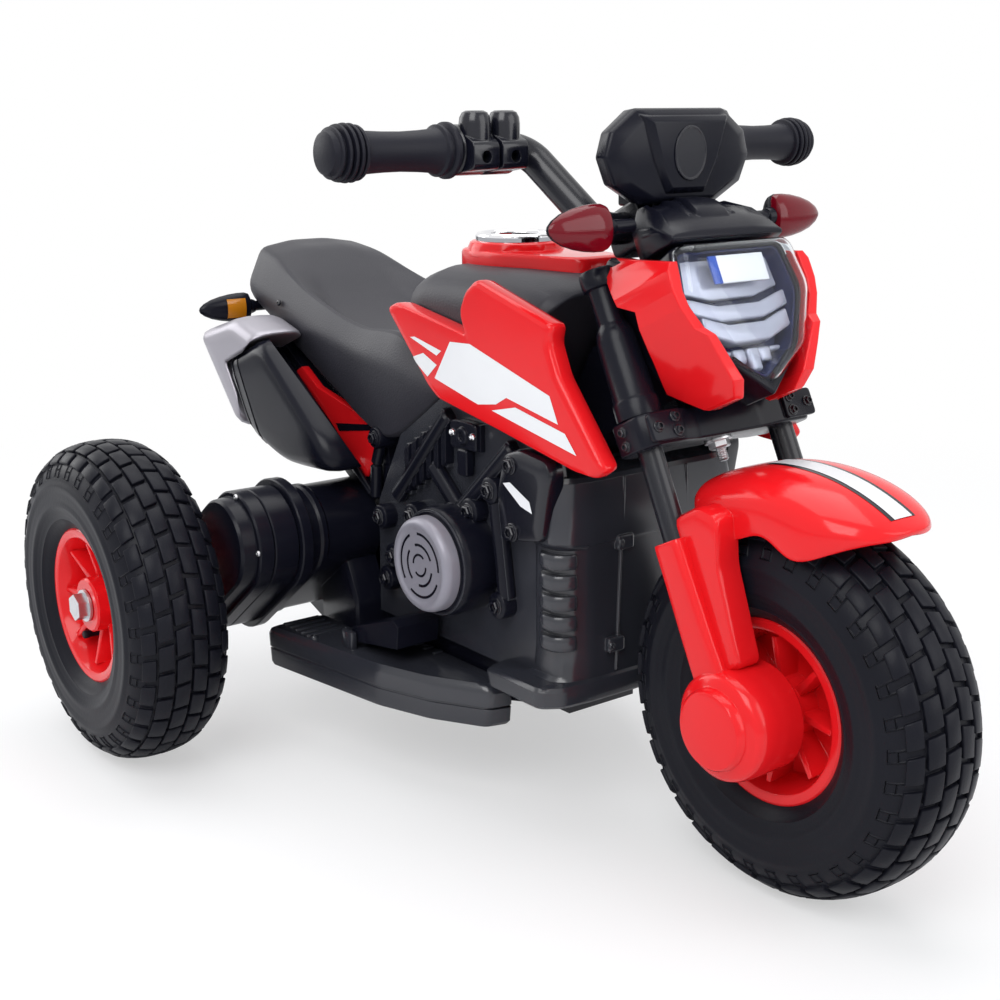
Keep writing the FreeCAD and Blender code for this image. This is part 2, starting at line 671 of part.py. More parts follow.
lamp_back, lamp_mid, lamp_front = out(0.28), out(0.44), out(0.60)
cowl = new_body("headlamp_cowl")
loft(cowl, [trace(sketch_on(cowl, "YZ_Plane", lamp_back), shield(0.93)),
            trace(sketch_on(cowl, "YZ_Plane", lamp_front), shield(1.0))])
# two arms reach back to the fork sleeves
for side in (-1, 1):
    arm = block(sketch_on(cowl, "YZ_Plane", out(0.135)), (S.fork_half_width * (0.44 * side), up(0.665)),
                (S.fork_half_width * (0.522 * side), up(0.70)))
    pad(cowl, arm, lamp_back - out(0.135) + S.wall)
inner = sketch_on(cowl, "YZ_Plane", lamp_front - S.edge_round * 2)
trace(inner, shield(0.88))
pocket(cowl, inner, S.overrun, back=True)
ride_fork(cowl)

dish = new_body("headlamp_reflector")
dish_depth = S.edge_round * 2
pad(dish, trace(sketch_on(dish, "YZ_Plane", lamp_front - dish_depth), shield(0.865)),
    dish_depth - S.lens_wall - S.slip_gap)
bowl = sketch_on(dish, "YZ_Plane", lamp_front - dish_depth + S.lens_wall)
trace(bowl, shield(0.78))
pocket(dish, bowl, S.overrun, back=True)
for side in (-1, 1):
    bars = trace(sketch_on(dish, "YZ_Plane", lamp_front - dish_depth + S.lens_wall / 2), [
        (S.fork_half_width * (0.40 * side), up(0.70)), (S.fork_half_width * (0.06 * side), up(0.575)),
        (S.fork_half_width * (0.06 * side), up(0.60)), (S.fork_half_width * (0.34 * side), up(0.705))])
    pad(dish, bars, S.edge_round)
ride_fork(dish)

lens = new_body("headlamp_lens")
lens_rim, lens_crown = lamp_front + S.edge_round * 0.7, lamp_front + S.edge_round * 1.4
loft(lens, [trace(sketch_on(lens, "YZ_Plane", lamp_front), shield(0.99)),
            trace(sketch_on(lens, "YZ_Plane", lens_rim), shield(0.97)),
            trace(sketch_on(lens, "YZ_Plane", lens_crown), shield(0.80))])
loft(lens, [trace(sketch_on(lens, "YZ_Plane", lamp_front), shield(0.92)),
            trace(sketch_on(lens, "YZ_Plane", lens_rim - S.lens_wall), shield(0.90)),
            trace(sketch_on(lens, "YZ_Plane", lens_crown - S.lens_wall), shield(0.76))], cut=True)
ride_fork(lens)

# Red cowl panels clasp the housing on both sides and draw together below it.
panels = new_body("cowl_panels")
# rows: height, back reach, front reach, half inside at back and front, half outside at front and back
panel_row_shares = ((0.775, 0.21, 0.42, 0.545, 0.545, 0.60, 0.63),
                    (0.715, 0.21, 0.58, 0.545, 0.565, 0.645, 0.665),
                    (0.66, 0.27, 0.63, 0.56, 0.58, 0.655, 0.675),
                    (0.60, 0.345, 0.60, 0.455, 0.462, 0.55, 0.57),
                    (0.555, 0.35, 0.61, 0.355, 0.365, 0.45, 0.47),
                    (0.502, 0.25, 0.56, 0.22, 0.22, 0.33, 0.37))
panel_sections = []
for tall, back_v, front_v, in_back, in_front, out_front, out_back in panel_row_shares:
    corners = ((back_v, in_back), (front_v, in_front), (front_v, out_front), (back_v, out_back))
    panel_sections.append(trace(sketch_on(panels, "XY_Plane", up(tall)),
                                [(out(v), -S.fork_half_width * wide) for v, wide in corners]))
mirror(panels, [loft(panels, panel_sections)])
ride_fork(panels)

# Front signals on short stalks at the sides of the dash cover.
def signal_pair(label, lens_label, place, low_y, mid_y, tip_y, radius, stalk_y):
    """Two housings on stalks, and a lens closing the front of each one."""
    housing = new_body(label)
    stalk = pad(housing, ring(sketch_on(housing, "XZ_Plane", stalk_y), ZERO, ZERO, S.stalk_diameter / 2),
                low_y - stalk_y + radius / 2)
    shell = revolve(housing, trace(sketch_on(housing, "XY_Plane"), [
        (ZERO, -low_y), (radius * 0.55, -low_y), (radius, -mid_y),
        (radius * 0.78, -(mid_y + (tip_y - mid_y) * 0.45)),
        (radius * 0.3, -tip_y), (ZERO, -tip_y)]), "Y_Axis")
    face = sketch_on(housing, "YZ_Plane", radius * 0.2)
    block(face, (-tip_y - S.overrun, -radius * 2), (S.overrun - low_y, radius * 2))
    flat = pocket(housing, face, S.overrun, back=True)
    mirror(housing, [stalk, shell, flat])
    place(housing)
    glass = new_body(lens_label)
    shape = revolve(glass, trace(sketch_on(glass, "XY_Plane"), [
        (ZERO, S.wall / 2 - low_y - S.wall), (radius * 0.5, -low_y - S.wall / 2), (radius * 0.92, -mid_y),
        (radius * 0.7, -(mid_y + (tip_y - mid_y) * 0.45)), (radius * 0.24, -tip_y + S.wall / 2),
        (ZERO, -tip_y + S.wall / 2)]), "Y_Axis")
    face = sketch_on(glass, "YZ_Plane", radius * 0.2 + S.slip_gap)
    block(face, (-tip_y - S.overrun, -radius * 2), (S.overrun - low_y, radius * 2))
    back_cut = pocket(glass, face, S.overrun)
    mirror(glass, [shape, back_cut])
    place(glass)


def at_dash(body):
    ride_fork(body)
    reach, height = out(0.36), up(0.81)
    move_to(body, S.wheelbase / 2 + reach * lean_cos - height * lean_sin, None,
            axle_height + reach * lean_sin + height * lean_cos)


signal_pair("front_signals", "front_signal_lenses", at_dash, S.fork_half_width * 0.75,
            S.fork_half_width * 0.91,
            S.fork_half_width * 1.25, S.signal_diameter * 0.55, S.fork_half_width * 0.53)

# Front fender: an arched shell turned about the front axle, its skirts cut back towards the nose.
fender = new_body("front_fender")
fender_top = tread_radius * 1.235
shoulder, skirt = tread_radius * 1.14, tread_radius * 0.90
fender_half, ridge_half = S.fender_half_width, S.fender_half_width * 0.42
fw = S.fender_wall
profile = trace(sketch_on(fender, "YZ_Plane"), [
    (-fender_half, skirt), (fw - fender_half, skirt), (fw - fender_half, shoulder - fw),
    (-ridge_half, fender_top - fw), (ridge_half, fender_top - fw), (fender_half - fw, shoulder - fw),
    (fender_half - fw, skirt), (fender_half, skirt), (fender_half, shoulder), (ridge_half, fender_top),
    (-ridge_half, fender_top), (-fender_half, shoulder)])
revolve(fender, profile, "Y_Axis", S.fender_reach)
# the skirt rises towards the nose
nose_shares = ((0.10, 0.80), (0.30, 0.80), (0.86, 1.02), (1.2, 1.0), (1.2, 0.3), (0.1, 0.3))
cut = trace(sketch_on(fender, "XZ_Plane"), [(tread_radius * v, tread_radius * u) for v, u in nose_shares])
pocket(fender, cut, S.fender_half_width * 2 + S.overrun, both=True)
# the nose is drawn in at both corners
corner_shares = ((0.50, 1.02), (0.80, 1.02), (0.80, 0.32), (0.66, 0.44), (0.60, 0.78))
for side in (-1, 1):
    corner_cut = trace(sketch_on(fender, "XY_Plane"), [
        (tread_radius * v, fender_half * (wide * side)) for v, wide in corner_shares])
    pocket(fender, corner_cut, S.tyre_diameter, back=True)
# a stay each side runs down in front of the fork leg to the hub drum
fender_turn = S.rake * 0.14
stay_sin, stay_cos = sine(S.rake + fender_turn), cosine(S.rake + fender_turn)
stay_low, stay_top = S.drum_diameter / 2 + S.wall, tread_radius * 1.04
stay_shares = ((1.25, stay_low), (2.1, stay_low), (2.9, stay_top), (1.25, stay_top))
stay_start = fender_half - fw
stay_path = []
for wide, height in stay_shares:
    reach = leg_half * wide
    stay_path.append((reach * stay_cos - height * stay_sin, reach * stay_sin + height * stay_cos))
stay = pad(fender, trace(sketch_on(fender, "XZ_Plane", stay_start), stay_path), S.stay_width)
mirror(fender, [stay])
fender.Placement = Placement(Vector(0, 0, 0), Rotation(Vector(0, 1, 0), SIZES["rake"]))
fender.setExpression("Placement.Rotation.Angle", fender_turn.text)
move_to(fender, S.wheelbase / 2, None, axle_height)


# Gear train on the right rear wheel: motor pinion, compound idler, drive gear on the wheel hub.
tilt_sin, tilt_cos = sine(S.gear_tilt), cosine(S.gear_tilt)
rear_x = -S.wheelbase / 2
idler_span = S.gear_module * (S.drive_teeth + S.idler_pinion_teeth) / 2
motor_span = idler_span + S.gear_module * (S.idler_teeth + S.pinion_teeth) / 2
idler_x, idler_z = rear_x + tilt_cos * idler_span, axle_height + tilt_sin * idler_span
motor_x, motor_z = rear_x + tilt_cos * motor_span, axle_height + tilt_sin * motor_span
pressure_angle, tooth_share, tip_share, root_share = math.radians(20), 0.465, 0.95, 1.2


def involute(angle):
    return math.tan(angle) - angle


def gear_path(teeth, phase):
    """Tooth outline of a spur gear as shares of the module, turned to its phase in degrees."""
    pitch = teeth / 2
    base = pitch * math.cos(pressure_angle)
    tip, root = pitch + tip_share, pitch - root_share
    points = []
    for tooth in range(teeth):
        middle = math.radians(phase) + 2 * math.pi * tooth / teeth
        flank = []
        for radius in (max(root, base), pitch, tip):
            lean = involute(pressure_angle) - involute(math.acos(min(1.0, base / radius)))
            flank.append((radius, math.pi * tooth_share / teeth + lean))
        if root < base:
            flank.insert(0, (root, flank[0][1]))
        points += [(r, middle - a) for r, a in flank] + [(r, middle + a) for r, a in reversed(flank)]
    return [(S.gear_module * (r * math.cos(a)), S.gear_module * (r * math.sin(a))) for r, a in points]


def gear(body, teeth, phase, start, width):
    spot = draw_loose(sketch_on(body, "XZ_Plane", start), gear_path(teeth, phase))
    return pad(body, spot, width)


# Phases put a tooth of one gear opposite a gap of the next along the line of centres.
tilt = SIZES["gear_tilt"]
drive_phase = tilt
idler_pinion_phase = tilt + 180 + 180 / SIZES["idler_pinion_teeth"]
idler_phase = tilt
pinion_phase = tilt + 180 + 180 / SIZES["pinion_teeth"]
gear_low = S.case_inner + S.case_wall + S.clear_gap * 2
gear_mid = gear_low + S.gear_face + S.clear_gap
gear_high = gear_mid + S.clear_gap * 2

drive = new_body("drive_gear")
gear(drive, SIZES["drive_teeth"], drive_phase, gear_high, S.gear_face)
hub_end = wheel_y - S.hub_width / 2
pad(drive, ring(sketch_on(drive, "XZ_Plane", gear_high), ZERO, ZERO, S.drive_hub / 2), hub_end - gear_high)
pocket(drive, ring(sketch_on(drive, "XZ_Plane", gear_high), ZERO, ZERO, axle_radius + S.run_gap),
       S.overrun * 2, back=True)
pocket(drive, ring(sketch_on(drive, "XZ_Plane", hub_end), ZERO, ZERO, bush_radius + S.free_gap),
       S.clear_gap * 2)
move_to(drive, rear_x, None, axle_height)

idler = new_body("idler_gear")
gear(idler, SIZES["idler_teeth"], idler_phase, gear_low, S.gear_face)
gear(idler, SIZES["idler_pinion_teeth"], idler_pinion_phase, gear_low, gear_high + S.gear_face - gear_low)
pocket(idler, ring(sketch_on(idler, "XZ_Plane", gear_low), ZERO, ZERO, S.idler_pin / 2 + S.run_gap),
       S.overrun, back=True)
move_to(idler, idler_x, None, idler_z)

pinion = new_body("motor_pinion")
gear(pinion, SIZES["pinion_teeth"], pinion_phase, gear_low, S.gear_face)
shaft_start = S.case_inner - S.edge_round
pad(pinion, ring(sketch_on(pinion, "XZ_Plane", shaft_start), ZERO, ZERO, S.shaft_diameter / 2),
    gear_low - shaft_start)
move_to(pinion, motor_x, None, motor_z)

motor = new_body("motor")
motor_start = S.case_inner - S.motor_length
pad(motor, ring(sketch_on(motor, "XZ_Plane", motor_start), ZERO, ZERO, S.motor_diameter / 2), S.motor_length)
pad(motor, ring(sketch_on(motor, "XZ_Plane", motor_start - S.wall), ZERO, ZERO, S.motor_diameter / 6), S.wall)
shaft_hole = ring(sketch_on(motor, "XZ_Plane", shaft_start - S.free_gap), ZERO, ZERO,
                  S.shaft_diameter / 2 + S.run_gap)
pocket(motor, shaft_hole, S.overrun, back=True)
move_to(motor, motor_x, None, motor_z)


def slot(sketch, radius):
    """A round-ended outline around the wheel centre and the motor centre."""
    nx, nz = -tilt_sin, tilt_cos
    a, b = (rear_x, axle_height), (motor_x, motor_z)
    return trace(sketch, [
        (a[0] - nx * radius, a[1] - nz * radius, a[0] - tilt_cos * radius, a[1] - tilt_sin * radius),
        (b[0] - nx * radius, b[1] - nz * radius),
        (b[0] + nx * radius, b[1] + nz * radius, b[0] + tilt_cos * radius, b[1] + tilt_sin * radius),
        (a[0] + nx * radius, a[1] + nz * radius)])


case = new_body("gearbox_case")
pad(case, slot(sketch_on(case, "XZ_Plane", S.case_inner), S.case_radius), S.case_split - S.case_inner)
pocket(case, slot(sketch_on(case, "XZ_Plane", S.case_inner + S.case_wall), S.case_radius - S.case_wall),
       S.overrun, back=True)
holes = sketch_on(case, "XZ_Plane", S.case_inner)
ring(holes, rear_x, axle_height, axle_radius + S.run_gap)
ring(holes, motor_x, motor_z, S.shaft_diameter)
pocket(case, holes, S.overrun, back=True)
pin_end = gear_high + S.gear_face
pad(case, ring(sketch_on(case, "XZ_Plane", S.case_inner + S.case_wall), idler_x, idler_z, S.idler_pin / 2),
    pin_end - S.case_inner - S.case_wall)

cover = new_body("gearbox_cover")
cap_radius = S.case_radius - S.case_flange
pad(cover, slot(sketch_on(cover, "XZ_Plane", S.case_split), S.case_radius), S.case_step - S.case_split)
pad(cover, slot(sketch_on(cover, "XZ_Plane", S.case_step), cap_radius), S.case_outer - S.case_step)
pocket(cover, slot(sketch_on(cover, "XZ_Plane", S.case_split), S.case_radius - S.case_wall),
       S.case_step - S.case_split - S.case_wall, back=True)
pocket(cover, slot(sketch_on(cover, "XZ_Plane", S.case_split), cap_radius - S.case_wall),
       S.case_outer - S.case_split - S.case_wall, back=True)
pocket(cover, ring(sketch_on(cover, "XZ_Plane", S.case_split), rear_x, axle_height,
                   S.drive_hub / 2 + S.free_gap),
       S.overrun, back=True)
soften(cover, lambda e: abs(e.CenterOfMass.y + SIZES["case_outer"]) < 0.1 and e.Length > 100, S.case_wall / 2)

# Chassis tray: a tub along the floor with the axle tunnel and wheel bosses at the back.
tray = new_body("chassis_tray")
tray_shares = ((-0.60, 0.235), (-0.42, 0.158), (0.12, 0.158), (0.196, 0.225), (0.196, 0.28), (-0.37, 0.28),
               (-0.40, 0.43), (-0.60, 0.43))
pad(tray, trace(sketch_on(tray, "XZ_Plane"), side_path(tray_shares)), S.tray_half_width * 2, both=True)
well = sketch_on(tray, "XY_Plane", S.board_bottom + S.wall)
inner_half = S.tray_half_width - S.wall
trace(well, [(S.frame_length * -0.36, -inner_half), (S.frame_length * 0.13, -inner_half),
             (S.frame_length * 0.13, inner_half), (S.frame_length * -0.36, inner_half)])
pocket(tray, well, S.frame_height, back=True)
pad(tray, slot(sketch_on(tray, "XZ_Plane", S.tray_half_width), S.case_radius - S.case_flange),
    S.case_inner - S.tray_half_width)
flange_start = S.case_inner - S.case_flange * 2
pad(tray, slot(sketch_on(tray, "XZ_Plane", flange_start), S.case_radius + S.case_flange),
    S.case_inner - flange_start)
pad(tray, ring(sketch_on(tray, "XZ_Plane", -S.tray_half_width), rear_x, axle_height,
               S.boss_left_diameter / 2),
    S.boss_left_reach - S.tray_half_width, back=True)
# a fairing stands beside the tray at the back of each footboard
fairing_shares = ((-0.40, 0.158), (-0.40, 0.355), (-0.37, 0.385), (-0.315, 0.40), (-0.277, 0.30),
                  (-0.277, 0.158))
fairing_reach = S.frame_half_width - S.tray_half_width
pad(tray, trace(sketch_on(tray, "XZ_Plane", S.tray_half_width), side_path(fairing_shares)), fairing_reach)
pad(tray, trace(sketch_on(tray, "XZ_Plane", -S.tray_half_width), side_path(fairing_shares)), fairing_reach,
    back=True)
# the back is hollow too: an underside recess and a cavity in each boss
well = sketch_on(tray, "XY_Plane")
trace(well, [(S.frame_length * -0.585, -inner_half), (S.frame_length * -0.43, -inner_half),
             (S.frame_length * -0.43, inner_half), (S.frame_length * -0.585, inner_half)])
pocket(tray, well, S.frame_height * 0.415, back=True)
boss_start = S.tray_half_width - S.wall * 2
pocket(tray, slot(sketch_on(tray, "XZ_Plane", boss_start), S.case_radius - S.case_flange - S.wall),
       S.case_inner - S.wall - boss_start, back=True)
pocket(tray, ring(sketch_on(tray, "XZ_Plane", -boss_start), rear_x, axle_height,
                  S.boss_left_diameter / 2 - S.wall),
       S.boss_left_reach - S.wall - boss_start)
pocket(tray, ring(sketch_on(tray, "XZ_Plane", S.case_inner), motor_x, motor_z,
                  S.motor_diameter / 2 + S.slip_gap),
       S.motor_length + S.wall + S.free_gap)
axle_tunnel = ring(sketch_on(tray, "XZ_Plane"), rear_x, axle_height, axle_radius + S.run_gap)
pocket(tray, axle_tunnel, S.rear_track, both=True)

# Engine shells: a plate each side with moulded tubes, bolt bosses, fins and the disc drum.
shell_shares = ((-0.27, 0.28), (0.19, 0.28), (0.192, 0.625), (0.16, 0.7985), (-0.06, 0.7985), (-0.19, 0.68),
                (-0.265, 0.515))
tube_shares = ((-0.196, 0.541, -0.052, 0.733), (-0.027, 0.552, 0.103, 0.702), (-0.096, 0.625, -0.032, 0.559),
               (0.062, 0.597, 0.084, 0.415), (-0.142, 0.517, -0.197, 0.421))
boss_shares = ((-0.142, 0.517), (0.010, 0.564), (0.060, 0.615), (-0.197, 0.421), (-0.218, 0.369),
               (0.076, 0.403),
               (-0.232, 0.492))
wedge_shares = ((0.106, 0.695), (0.174, 0.672), (0.135, 0.545), (0.088, 0.535))
fin_shares = ((-0.165, 0.60), (-0.145, 0.615), (-0.125, 0.63), (-0.105, 0.645), (-0.085, 0.66),
              (-0.065, 0.675))
disc_x, disc_z = S.frame_length * -0.028, S.frame_height * 0.465
shell = new_body("engine_shell_right")
pad(shell, trace(sketch_on(shell, "XZ_Plane", S.shell_inner), side_path(shell_shares)),
    S.shell_outer - S.shell_inner)
half_tube = S.tube_diameter / 2
for x1, z1, x2, z2 in tube_shares:
    run = math.hypot((x2 - x1) * SIZES["frame_length"], (z2 - z1) * SIZES["frame_height"])
    nx = (z2 - z1) * SIZES["frame_height"] / run
    nz = -(x2 - x1) * SIZES["frame_length"] / run
    a = (S.frame_length * x1, S.frame_height * z1)
    b = (S.frame_length * x2, S.frame_height * z2)
    bar_sketch = trace(sketch_on(shell, "XZ_Plane", S.shell_outer - S.soft_round / 2), [
        (a[0] + half_tube * nx, a[1] + half_tube * nz), (b[0] + half_tube * nx, b[1] + half_tube * nz),
        (b[0] - half_tube * nx, b[1] - half_tube * nz), (a[0] - half_tube * nx, a[1] - half_tube * nz)])
    pad(shell, bar_sketch, S.tube_diameter * 0.8)
for x1, z1 in boss_shares:
    spot = ring(sketch_on(shell, "XZ_Plane", S.shell_outer - S.soft_round / 2), S.frame_length * x1,
                S.frame_height * z1, S.bolt_boss / 2)
    pad(shell, spot, S.tube_diameter * 1.05)
for x1, z1 in fin_shares:
    fin = block(sketch_on(shell, "XZ_Plane", S.shell_outer - S.soft_round / 2),
                (S.frame_length * x1, S.frame_height * (z1 - 0.045)),
                (S.frame_length * (x1 + 0.009), S.frame_height * (z1 + 0.055)))
    pad(shell, fin, S.tube_diameter * 0.6)
drum_sketch = ring(sketch_on(shell, "XZ_Plane", S.shell_outer - S.soft_round / 2), disc_x, disc_z,
                   S.disc_diameter / 2 + S.wall)
pad(shell, drum_sketch, S.disc_inner - S.shell_outer + S.soft_round / 2)
wedge = trace(sketch_on(shell, "XZ_Plane", S.shell_outer - S.soft_round / 2), side_path(wedge_shares))
pad(shell, wedge, S.tube_diameter * 1.1)
socket_x, socket_z = S.frame_length * -0.012, S.frame_height * 0.70
socket_hole = ring(sketch_on(shell, "XZ_Plane", S.shell_inner), socket_x, socket_z,
                   S.socket_diameter / 2 - S.wall + S.slip_gap)
twin("engine_shell_left", shell.Tip)
shell_right = pocket(shell, socket_hole, S.overrun, back=True)

grilles = new_body("speaker_grilles")
disc = pad(grilles, ring(sketch_on(grilles, "XZ_Plane", S.disc_inner), disc_x, disc_z, S.disc_diameter / 2),
           S.disc_outer - S.disc_inner)
grooves = sketch_on(grilles, "XZ_Plane", S.disc_outer - S.wall / 2)
for wide_share in (0.385, 0.365, 0.245, 0.225, 0.13, 0.11):
    ring(grooves, disc_x, disc_z, S.disc_diameter * wide_share)
grille_cut = pocket(grilles, grooves, S.overrun, back=True)
mirror(grilles, [disc, grille_cut])
rim_length = SIZES["disc_diameter"] * 3
soften(grilles, lambda e: abs(abs(e.CenterOfMass.y) - SIZES["disc_outer"]) < 0.1 and e.Length > rim_length,
       S.wall)

# Radiator shroud: the front plate with slats and two ribbed corner columns.
shroud = new_body("radiator_shroud")
shroud_low, shroud_high = S.frame_height * 0.225, S.frame_height * 0.635
front_x = S.frame_length * 0.196
spot = trace(sketch_on(shroud, "XY_Plane", shroud_low), [
    (front_x, -S.shell_inner), (front_x + S.wall, -S.shell_inner),
    (front_x + S.wall * 1.6, -S.shell_inner * 0.6),
    (front_x + S.wall * 1.6, S.shell_inner * 0.6), (front_x + S.wall, S.shell_inner),
    (front_x, S.shell_inner)])
pad(shroud, spot, shroud_high - shroud_low)
for n in range(7):
    slat_low = S.frame_height * (0.30 + 0.043 * n)
    slat = block(sketch_on(shroud, "YZ_Plane", front_x + S.wall), (-S.shell_inner * 0.8, slat_low),
                 (S.shell_inner * 0.8, slat_low + S.soft_round))
    pad(shroud, slat, S.wall)
column_low, column_high = S.frame_height * 0.34, S.frame_height * 0.545
column_y = S.shell_outer
column = sketch_on(shroud, "XY_Plane", column_low)
trace(column, [(front_x - S.wall * 3, -column_y - S.edge_round), (front_x, -column_y - S.edge_round * 0.8),
               (front_x + S.wall * 2, -column_y + S.wall), (front_x + S.wall, -S.shell_inner + S.wall),
               (front_x, -S.shell_inner + S.wall), (front_x, -column_y - S.slip_gap),
               (front_x - S.wall * 3, -column_y - S.slip_gap)])
post = pad(shroud, column, column_high - column_low)
ribs = []
for n in range(8):
    rib_low = column_low + (column_high - column_low) * (0.03 + 0.122 * n)
    edge = trace(sketch_on(shroud, "XY_Plane", rib_low), [
        (front_x - S.wall * 3, -column_y - S.edge_round * 1.3), (front_x, -column_y - S.edge_round * 1.1),
        (front_x + S.wall * 2.6, -column_y + S.wall * 0.6), (front_x + S.wall, -S.shell_inner),
        (front_x, -S.shell_inner), (front_x, -column_y - S.slip_gap),
        (front_x - S.wall * 3, -column_y - S.slip_gap)])
    ribs.append(pad(shroud, edge, S.soft_round))
mirror(shroud, [post] + ribs)


# Steering neck: a tube around the stem with an arm back to the engine shells.
neck = new_body("steering_neck")
pad(neck, ring(sketch_on(neck, "XY_Plane", neck_low), ZERO, ZERO, S.neck_diameter / 2), neck_high - neck_low)
arm_shares = ((0.0, 0.535), (0.0, 0.685), (-0.70, 0.685), (-1.25, 0.5875), (-1.25, 0.515), (-0.95, 0.515),
              (-0.80, 0.535))
pad(neck, trace(sketch_on(neck, "XZ_Plane"), fork_path(arm_shares)), S.neck_width, both=True)
tie_shares = ((-1.25, 0.515), (-0.98, 0.515), (-0.98, 0.54), (-1.25, 0.55))
pad(neck, trace(sketch_on(neck, "XZ_Plane"), fork_path(tie_shares)), S.shell_inner * 2, both=True)
pocket(neck, ring(sketch_on(neck, "XY_Plane", neck_low), ZERO, ZERO, stem_radius + S.run_gap),
       S.overrun * 2, back=True)
ride_fork(neck)

# Tank panels: a red pillow each side, its face drawn in from its rim.
tank_shares = ((-0.24, 0.90), (-0.20, 0.845), (-0.08, 0.772), (0.10, 0.725), (0.24, 0.688), (0.31, 0.71),
               (0.235, 0.80), (0.205, 0.925), (0.12, 0.945), (0.0, 0.985), (-0.035, 0.955), (-0.06, 0.885))
tank_mid = (0.06, 0.83)


def drawn_in(shares, middle, keep_share):
    return tuple((middle[0] + (x - middle[0]) * keep_share, middle[1] + (z - middle[1]) * keep_share) for x,
                 z in shares)


tank_inner = S.cover_half_width + S.slip_gap
tank = new_body("tank_panel_right")
loft(tank, [
    trace(sketch_on(tank, "XZ_Plane", tank_inner), side_path(tank_shares)),
    trace(sketch_on(tank, "XZ_Plane", tank_inner + S.panel_bulge * 0.55),
          side_path(drawn_in(tank_shares, tank_mid, 0.97))),
    trace(sketch_on(tank, "XZ_Plane", tank_inner + S.panel_bulge),
          side_path(drawn_in(tank_shares, tank_mid, 0.80)))])
twin("tank_panel_left", tank)

# Tank cover: the black shell between the panels, open below and at the nose.
tank_cover = new_body("tank_cover")
deck = S.frame_height * 0.995
cover_shares = ((-0.20, 0.83), (-0.20, 0.955), (-0.185, 0.995), (0.13, 0.995), (0.16, 0.96), (0.196, 0.84),
                (0.16, 0.80),
                (0.0, 0.80))
pad(tank_cover, trace(sketch_on(tank_cover, "XZ_Plane"), side_path(cover_shares)), S.cover_half_width * 2,
    both=True)
soften(tank_cover, lambda e: abs(abs(e.CenterOfMass.y) - 80) < 0.1 and e.CenterOfMass.z > 370,
       S.edge_round * 1.8)
cover_inner_shares = ((-0.192, 0.70), (-0.192, 0.95), (-0.18, 0.983), (0.126, 0.983), (0.30, 0.955),
                      (0.30, 0.70))
pocket(tank_cover, trace(sketch_on(tank_cover, "XZ_Plane"), side_path(cover_inner_shares)),
       (S.cover_half_width - S.wall * 1.5) * 2, both=True)
# a wall each side of the neck closes the nose behind the turning fork sleeves
nose_wall = []
for reach_share, height_share in ((-0.50, 0.525), (-0.46, 0.525), (-0.46, 0.79), (-0.50, 0.79)):
    wall_x, wall_z = leaned(out(reach_share), up(height_share))
    nose_wall.append((S.wheelbase / 2 + wall_x, axle_height + wall_z))
neck_room = S.neck_width / 2 + S.soft_round
cheek = pad(tank_cover, trace(sketch_on(tank_cover, "XZ_Plane", neck_room), nose_wall),
            S.cover_half_width - neck_room)
mirror(tank_cover, [cheek])

# Console on the deck: red base, bright ring, black panel with the start button and direction rocker.
console_x = S.frame_length * -0.105
base = new_body("console_base")
base_top = deck + S.console_height
base_plan = ((-0.185, 0.16), (-0.17, 0.30), (-0.12, 0.38), (-0.06, 0.38), (0.04, 0.30), (0.10, 0.22))
plan_full = [(x, -y) for x, y in base_plan] + [(x, y) for x, y in reversed(base_plan)]
pad(base, trace(sketch_on(base, "XY_Plane", deck),
                [(S.frame_length * x, S.frame_half_width * y) for x, y in plan_full]), S.console_height)
soften(base, lambda e: abs(e.CenterOfMass.z - 415) < 0.1, S.soft_round)
recess = ring(sketch_on(base, "XY_Plane", base_top - S.button_height), console_x, ZERO,
              S.bezel_diameter / 2 - S.bezel_width)
pocket(base, recess, S.overrun, back=True)

bezel = new_body("console_bezel")
bezel_r = S.bezel_diameter / 2
revolve(bezel, trace(sketch_on(bezel, "XZ_Plane"), [
    (bezel_r - S.bezel_width, ZERO), (bezel_r, ZERO), (bezel_r, S.bezel_height / 2),
    (bezel_r - S.bezel_width, S.bezel_height / 2, bezel_r - S.bezel_width / 2, S.bezel_height)]), "Z_Axis")
move_to(bezel, console_x, None, base_top)

panel = new_body("console_panel")
panel_low = base_top - S.panel_height
panel_r = S.bezel_diameter / 2 - S.bezel_width - S.slip_gap
pad(panel, ring(sketch_on(panel, "XY_Plane", panel_low - S.wall), console_x, ZERO, panel_r),
    S.panel_height + S.wall)
button_y, rocker_y = S.bezel_diameter * 0.17, -S.bezel_diameter * 0.17
cutouts = sketch_on(panel, "XY_Plane", panel_low - S.wall)
ring(cutouts, console_x, button_y, S.button_diameter / 2 + S.free_gap)
half_l, half_w = S.rocker_length / 2 + S.free_gap, S.rocker_width / 2 + S.free_gap
block(cutouts, (console_x - half_l, rocker_y - half_w), (console_x + half_l, rocker_y + half_w))
pocket(panel, cutouts, S.overrun, back=True)
pin_reach = S.rocker_width / 2 + S.wall / 2
pin_z = base_top - S.panel_height
pin_socket = ring(sketch_on(panel, "XZ_Plane", -rocker_y - pin_reach - S.free_gap), console_x, pin_z,
                  S.rocker_pin / 2 + S.run_gap)
pocket(panel, pin_socket, (pin_reach + S.free_gap) * 2, back=True)

